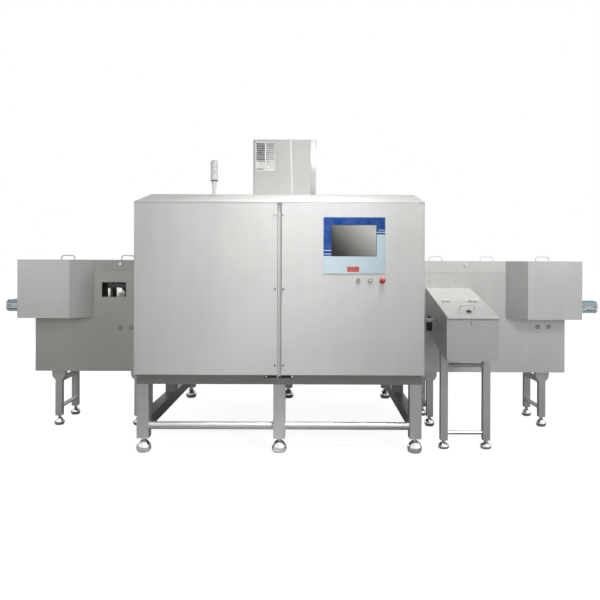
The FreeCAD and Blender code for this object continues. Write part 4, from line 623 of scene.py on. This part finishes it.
def belts():
    """Chains of slats around the three lanes, squared at the lane ends."""
    mesh = bmesh.new()
    start, end = planes_of("conveyor_belts")[:2]
    lanes = (
        (start + 17, -1640.0, *SIDE_LANE), (-1925.0, 2176.0, *MAIN_LANE),
        (1880.0, end - 22, *SIDE_LANE),
    )
    for left, right, front, back in lanes:
        for across, up, way in track(left + SLAT_ROOM, right - SLAT_ROOM):
            place = Matrix.Translation((across, 0, up)) @ Matrix.Rotation(way, 4, "Y")
            for half, inset, foot, top in SLAT_PARTS:
                size = (2 * half, back - front - 2 * inset, top - foot)
                block_into(mesh, place, size, (0, (front + back) / 2, (foot + top) / 2))
    piece("slat_belts", mesh, BELT, "machine", ["conveyor_belts"], bevel=0.8)


def lane_cover():
    """Pale cover and blue edge strip on the front of the outfeed lane."""
    end = planes_of("conveyor_belts")[1]
    mesh = bmesh.new()
    box_into(mesh, 2298.5, end - 36, 535.2, 536.8, 957, 988)
    piece("lane_cover", mesh, PALE_BLUE, "machine", bevel=0.4)
    mesh = bmesh.new()
    box_into(mesh, 2282, 2298, 534.9, 536.8, 936, 992)
    piece("lane_strip", mesh, BELT, "machine", bevel=0.4)


belts()
lane_cover()


# Window interior

POST_FOOT = 1006
POST_FLATTEN = 0.12
POST_DEEP = 653.4
GUIDE_STEPS = 14


def window():
    """Posts and curved plate that guide the bottles behind the window."""
    mesh = bmesh.new()
    for across, top in ((-1362, 1077), (-1294, 1083)):
        outline = [(0, POST_FOOT), (8.5, POST_FOOT), (8.5, top - 3), (6, top), (0, top)]
        spin_into(mesh, outline, (across, 0, 0), steps=32)
    bmesh.ops.scale(mesh, vec=(1, POST_FLATTEN, 1), verts=mesh.verts)
    bmesh.ops.translate(mesh, vec=(0, POST_DEEP, 0), verts=mesh.verts)
    piece("guide_posts", mesh, POLISHED, "machine")
    places = []
    for number in range(GUIDE_STEPS + 1):
        share = number / GUIDE_STEPS
        top = 1010 + 74 * math.sqrt(max(0.0, 1 - 0.80 * share ** 1.6))
        places.append((-1285 + 49 * share, 652.4 + 1.2 * share ** 2, 1008, top))
    curved_plate("bottle_guide", places, BRIGHT)


window()


# Cooler

GRILLE_FRONT, GRILLE_BACK = 475.5, 487.5
GRILLE_RIM = 6
GRILLE_BAR = 4
LOUVRES = 15
CLOSED_ROWS = range(1, 5)
CLOSED_LEAN = 82
LOUVRE_SIZE = (11, 1.2)
LOUVRE_DEEP = 481.5
COOLER_FOOT = 1795
CORNER_STEPS = 12


def cooler():
    """Louvres in two columns, a seam and a rounded corner on the cooler's front; the corner's
    lighter steel is partly a painted highlight.
    """
    left, right, foot, top = planes_of("cooler_grille")
    middle = (left + right) / 2
    low, high = foot + GRILLE_RIM, top - GRILLE_RIM
    mesh = bmesh.new()
    for begin, end, bottom, upper in (
        (left, right, foot, low),
        (left, right, high, top),
        (left, left + GRILLE_RIM, low, high),
        (right - GRILLE_RIM, right, low, high),
        (middle - GRILLE_BAR, middle + GRILLE_BAR, low, high),
    ):
        box_into(mesh, begin, end, GRILLE_FRONT, GRILLE_BACK, bottom, upper)
    piece("grille_frame", mesh, BRIGHT, "machine", bevel=0.8)
    mesh = bmesh.new()
    pitch = (top - foot - 2 * GRILLE_RIM) / LOUVRES
    columns = (
        (left + GRILLE_RIM, middle - GRILLE_BAR, 52), (middle + GRILLE_BAR, right - GRILLE_RIM, 62),
    )
    for begin, end, lean in columns:
        for number in range(LOUVRES):
            tilt = CLOSED_LEAN if number in CLOSED_ROWS else lean
            up = low + (number + 0.5) * pitch
            place = Matrix.Translation(((begin + end) / 2, LOUVRE_DEEP, up))
            turned = place @ Matrix.Rotation(math.radians(tilt), 4, "X")
            block_into(mesh, turned, (end - begin, *LOUVRE_SIZE))
    piece("grille_louvres", mesh, LOUVRE_STEEL, "machine", ["cooler_grille"])
    mesh = bmesh.new()
    outline = [(63, COOLER_FOOT), (73, COOLER_FOOT), (61, 2203), (51, 2203)]
    sheet_into(mesh, outline, 473.2, 475)
    piece("cooler_seam", mesh, BRIGHT, "machine", bevel=0.6)
    places = []
    # Real curve, in a lighter steel that partly paints the corner's highlight
    for number in range(CORNER_STEPS + 1):
        share = number / CORNER_STEPS
        places.append((205 + 38.5 * share, 474.2 + 5.0 * share ** 3, COOLER_FOOT, 2205))
    curved_plate("cooler_corner", places, CORNER_HIGHLIGHT_STEEL)


cooler()


# Switches

DOOR_FACE = -78
SWITCH_RISE = 1167
KEY_PLACE, START_PLACE, STOP_PLACE = 527, 607, 688
BEZEL = (
    (0, -1), (10.6, -1), (10.6, -5), (11.6, -7), (14, -7), (16, -4.5), (16.4, -1), (0, -0.5),
)
BEZEL_BACK = DOOR_FACE - 1.3
STOP_HEAD = (
    (0, -104), (6, -103.7), (12, -102.4), (16.5, -99.8), (19.2, -96.5), (20, -93), (19, -90),
    (14, -88), (11, -87), (11, -73), (0, -73),
)
START_HEAD = ((0, -87), (4, -86.6), (7.5, -85.4), (9, -83.5), (9, -72), (0, -72))


def switches():
    """Bezels of the key switch and the start button, and the heads of both buttons."""
    mesh = bmesh.new()
    for across in (KEY_PLACE, START_PLACE):
        spin_into(mesh, BEZEL, (across, DOOR_FACE, SWITCH_RISE), "Y")
    for face in [face for face in mesh.faces if face.calc_center_median().y > BEZEL_BACK]:
        bmesh.ops.delete(mesh, geom=[face], context="FACES_ONLY")
    piece("switch_bezels", mesh, POLISHED, "right_door_group")
    mesh = bmesh.new()
    spin_into(mesh, STOP_HEAD, (STOP_PLACE, 0, SWITCH_RISE), "Y", 48)
    piece("stop_head", mesh, RED, "emergency_stop_body", ["emergency_stop"])
    mesh = bmesh.new()
    spin_into(mesh, START_HEAD, (START_PLACE, 0, SWITCH_RISE), "Y")
    piece("start_cap", mesh, BRIGHT, "start_button_body", ["start_button"])


switches()


# Reject box

SLOPE = 0.1982
SLOPE_DEEP, SLOPE_RISE = -8.2, 955.4
HINGE_PLACES = (1185, 1378)
LEAF_SIZE = (52, 20, 2.0)
LEAF_LIFT = 1.1
SCREW_SHIFT = 17
LOCK_PLACE = 1281.5
REGULATOR = (1060, 242, 0)
BOWL = ((0, 797), (14, 797), (19, 802), (21, 812), (21, 856), (23, 858), (23, 863), (0, 863))
KNOB = ((0, 889), (15, 889), (15, 902), (13, 904), (0, 904))
ROUND_LOCK = (
    (0, 0.4), (19, 0.4), (19, 3), (18, 5.5), (16.5, 7), (14, 9), (9, 11), (0, 11.6),
)


def on_slope(across, deep, lift):
    """A place on the sloping top of the reject box with its tilt."""
    place = Matrix.Translation((across, deep, SLOPE_RISE + SLOPE * (deep - SLOPE_DEEP)))
    return place @ Matrix.Rotation(math.atan(SLOPE), 4, "X") @ Matrix.Translation((0, 0, lift))


def hinge_leaves(name, body, deep):
    """A pair of hinge leaves with their screws on the sloping top."""
    mesh = bmesh.new()
    for across in HINGE_PLACES:
        place = on_slope(across, deep, LEAF_LIFT)
        block_into(mesh, place, LEAF_SIZE)
        for shift in (-SCREW_SHIFT, SCREW_SHIFT):
            head = place @ Matrix.Translation((shift, 0, 1.6))
            bmesh.ops.create_cone(
                mesh, cap_ends=True, segments=20, radius1=4.5, radius2=3, depth=1.8, matrix=head,
            )
    piece(name, mesh, CHUTE_STEEL, body, bevel=0.4)


def reject_details():
    """Hinge leaves, the bead on the lid's lip, the round lock and the air regulator."""
    hinge_leaves("lid_leaves", "reject_lid_body", 246)
    hinge_leaves("fixed_leaves", "machine", 294)
    mesh = bmesh.new()
    # Painted highlight, in part: the bead takes the lighter lit lid steel to show a bright line
    # along the lid's lip
    box_into(mesh, 1110.5, 1452.5, -130.6, -128.4, 917.5, 931.5)
    piece("lip_bead", mesh, LIT_LID, "reject_lid_body", bevel=1.0)
    mesh = bmesh.new()
    spin_into(mesh, ROUND_LOCK, (0, 0, 0))
    box_into(mesh, -2.5, 2.5, -11, 11, 9, 12.8)
    mesh.transform(on_slope(LOCK_PLACE, SLOPE_DEEP, 0.0))
    piece(
        "round_lock", mesh, BLACK, "reject_lock_body", ["reject_lock"],
        bevel=0.6,
    )
    mesh = bmesh.new()
    box_into(mesh, 1036, 1084, 222, 262, 862, 890)
    box_into(mesh, 1084, 1110, 232, 252, 866, 886)
    piece(
        "regulator_body", mesh, GREY_PLASTIC, "machine", ["air_regulator"],
        bevel=3,
    )
    mesh = bmesh.new()
    spin_into(mesh, BOWL, REGULATOR, steps=32)
    spin_into(mesh, KNOB, REGULATOR, steps=24)
    piece("regulator_bowl", mesh, BLACK, "machine")


reject_details()


# Plugs, foot plate and bolts

PLUG_PLACES = ((-1274, 770), (-1190, 770), (1980, 788), (2067, 788))
PLUG_SEAT = ((13.3, 650.4), (16.5, 650.4), (16.5, 651), (13.3, 651))
FOOT_FRONT = -46.5
BOLT_PLACES, BOLT_RISE = (-88, 88), 519
BOLT = ((0, -8), (4, -7.6), (7, -6), (8, -4), (8, 0), (0, 0))


def small_marks():
    """Dark seats round the plugs, a dark strip over the centre post's foot plate that paints the
    shade under the doors, and the foot plate's bolts.
    """
    mesh = bmesh.new()
    for across, up in PLUG_PLACES:
        spin_into(mesh, PLUG_SEAT, (across, 0, up), "Y", 32)
    piece("plug_seats", mesh, RUBBER, "machine")
    # Painted shade: a dark rubber strip laid on the foot plate where the doors' shade falls
    mesh = bmesh.new()
    box_into(mesh, -102.5, 102.5, FOOT_FRONT - 1.4, FOOT_FRONT, 509.5, 529.5)
    piece("post_foot_shade_strip", mesh, RUBBER, "machine", bevel=0.4)
    mesh = bmesh.new()
    for across in BOLT_PLACES:
        spin_into(mesh, BOLT, (across, FOOT_FRONT, BOLT_RISE), "Y", 24)
    box_into(mesh, -17, -7, FOOT_FRONT - 4, FOOT_FRONT, 508, 520)
    piece("post_foot_bolts", mesh, BRIGHT, "machine", bevel=0.4)


small_marks()


# Stage

FLOOR_DROP = 0.0005
FLOOR_GLOW = 0.9


def stage():
    """A pale floor that goes white for the camera and keeps the shadow."""
    mesh = bmesh.new()
    bmesh.ops.create_grid(mesh, x_segments=1, y_segments=1, size=60)
    data = bpy.data.meshes.new("floor")
    mesh.to_mesh(data)
    mesh.free()
    floor = bpy.data.objects.new("floor", data)
    scene.collection.objects.link(floor)
    floor.location = (0, 0, -FLOOR_DROP)
    look = Look("floor_pale", (0.36, 0.36, 0.36), 0.8)
    cloud = look.noise(scale=0.7, detail=3.0)
    look.base(look.mix((0.34, 0.34, 0.34), (0.38, 0.38, 0.38), cloud))
    plain = look.shader.outputs[0]
    glow = look.node("ShaderNodeEmission")
    glow.inputs["Strength"].default_value = FLOOR_GLOW
    both = look.node("ShaderNodeAddShader")
    path = look.node("ShaderNodeLightPath")
    pick = look.node("ShaderNodeMixShader")
    output = [node for node in look.tree.nodes if node.type == "OUTPUT_MATERIAL"][0]
    look.link(plain, both.inputs[0])
    look.link(glow.outputs[0], both.inputs[1])
    look.link(path.outputs["Is Camera Ray"], pick.inputs[0])
    look.link(plain, pick.inputs[1])
    look.link(both.outputs[0], pick.inputs[2])
    look.link(pick.outputs[0], output.inputs["Surface"])
    data.materials.append(look.material)
    floor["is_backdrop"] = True


# Strength of the room: plain for dull surfaces, and for shiny ones from low to high, from
# left to right, and from the viewer's side to the rear
ROOM_PLAIN = 0.30
ROOM_UP = (-0.32, 0.12, 0.35, 1.52)
ROOM_SIDE = (-0.6, 0.6, 0.67, 1.03)
ROOM_REAR = (-0.3, 0.5, 1.0, 0.6)


def world():
    """White for the camera; a soft room that is brighter above for everything else."""
    made = bpy.data.worlds.new("room")
    scene.world = made
    made.use_nodes = True
    tree = made.node_tree
    tree.nodes.clear()
    link = tree.links.new

    def joined(operation, first, second):
        made = add_node(tree, "ShaderNodeMath", operation=operation)
        link(first, made.inputs[0])
        link(second, made.inputs[1])
        return made.outputs[0]

    def picked(share, first, second):
        made = add_node(tree, "ShaderNodeMixShader")
        for number, value in enumerate((share, first, second)):
            link(value, made.inputs[number])
        return made.outputs[0]

    def background(colour, strength=1.0):
        made = add_node(tree, "ShaderNodeBackground")
        made.inputs["Color"].default_value = (*colour, 1)
        made.inputs["Strength"].default_value = strength
        return made

    def graded(axis, ends):
        return add_span(tree, split.outputs[axis], *ends, interpolation_type="SMOOTHSTEP")

    split = add_node(tree, "ShaderNodeSeparateXYZ")
    link(add_node(tree, "ShaderNodeTexCoord").outputs["Generated"], split.inputs[0])
    level = joined("MULTIPLY", graded("Z", ROOM_UP), graded("X", ROOM_SIDE))
    level = joined("MULTIPLY", level, graded("Y", ROOM_REAR))
    plain = background((1, 1, 1), ROOM_PLAIN)
    studio = background((1, 1, 0.985))
    link(level, studio.inputs["Strength"])
    white = background((1, 1, 1))
    path = add_node(tree, "ShaderNodeLightPath").outputs
    shine = joined("MAXIMUM", path["Is Glossy Ray"], path["Is Transmission Ray"])
    room = picked(shine, plain.outputs[0], studio.outputs[0])
    room = picked(path["Is Camera Ray"], room, white.outputs[0])
    link(room, add_node(tree, "ShaderNodeOutputWorld").inputs["Surface"])


def lamp(name, place, target, size, power, spread=180):
    """An area lamp that is aimed at a target; its spread is in degrees."""
    data = bpy.data.lights.new(name, "AREA")
    data.spread = math.radians(spread)
    data.shape = "RECTANGLE"
    data.size, data.size_y = size
    data.energy = power
    made = bpy.data.objects.new(name, data)
    made.location = place
    made.rotation_euler = (Vector(target) - Vector(place)).to_track_quat("-Z", "Y").to_euler()
    scene.collection.objects.link(made)


def camera():
    """The eye stands before the cabinet, a little right of its middle."""
    data = bpy.data.cameras.new("camera")
    data.lens = 38.7
    data.sensor_width = 36
    data.shift_x = -0.0183
    data.shift_y = -0.0658
    made = bpy.data.objects.new("camera", data)
    made.location = (0.211, -4.378, 1.299)
    made.rotation_euler = (math.radians(90), math.radians(-0.2), 0)
    scene.collection.objects.link(made)
    scene.camera = made


stage()
world()
lamp("key", (3.4, -5.2, 5.9), (0.0, 0.2, 1.1), (0.9, 0.9), 158)
lamp("overhead", (0.75, -1.0, 4.6), (0.06, -0.08, 1.25), (0.9, 0.3), 13.5, 34)
lamp("fill", (-3.8, -3.4, 2.4), (-0.6, 0.4, 0.9), (2.2, 2.2), 8)
lamp("rear", (-5.5, 5.2, 1.5), (0.0, 1.7, 1.1), (3.0, 2.0), 110)
camera()
scene.view_settings.view_transform = "Standard"

boxes = [[list(map(float, corner)) for corner in box] for box in (cad_box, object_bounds())]
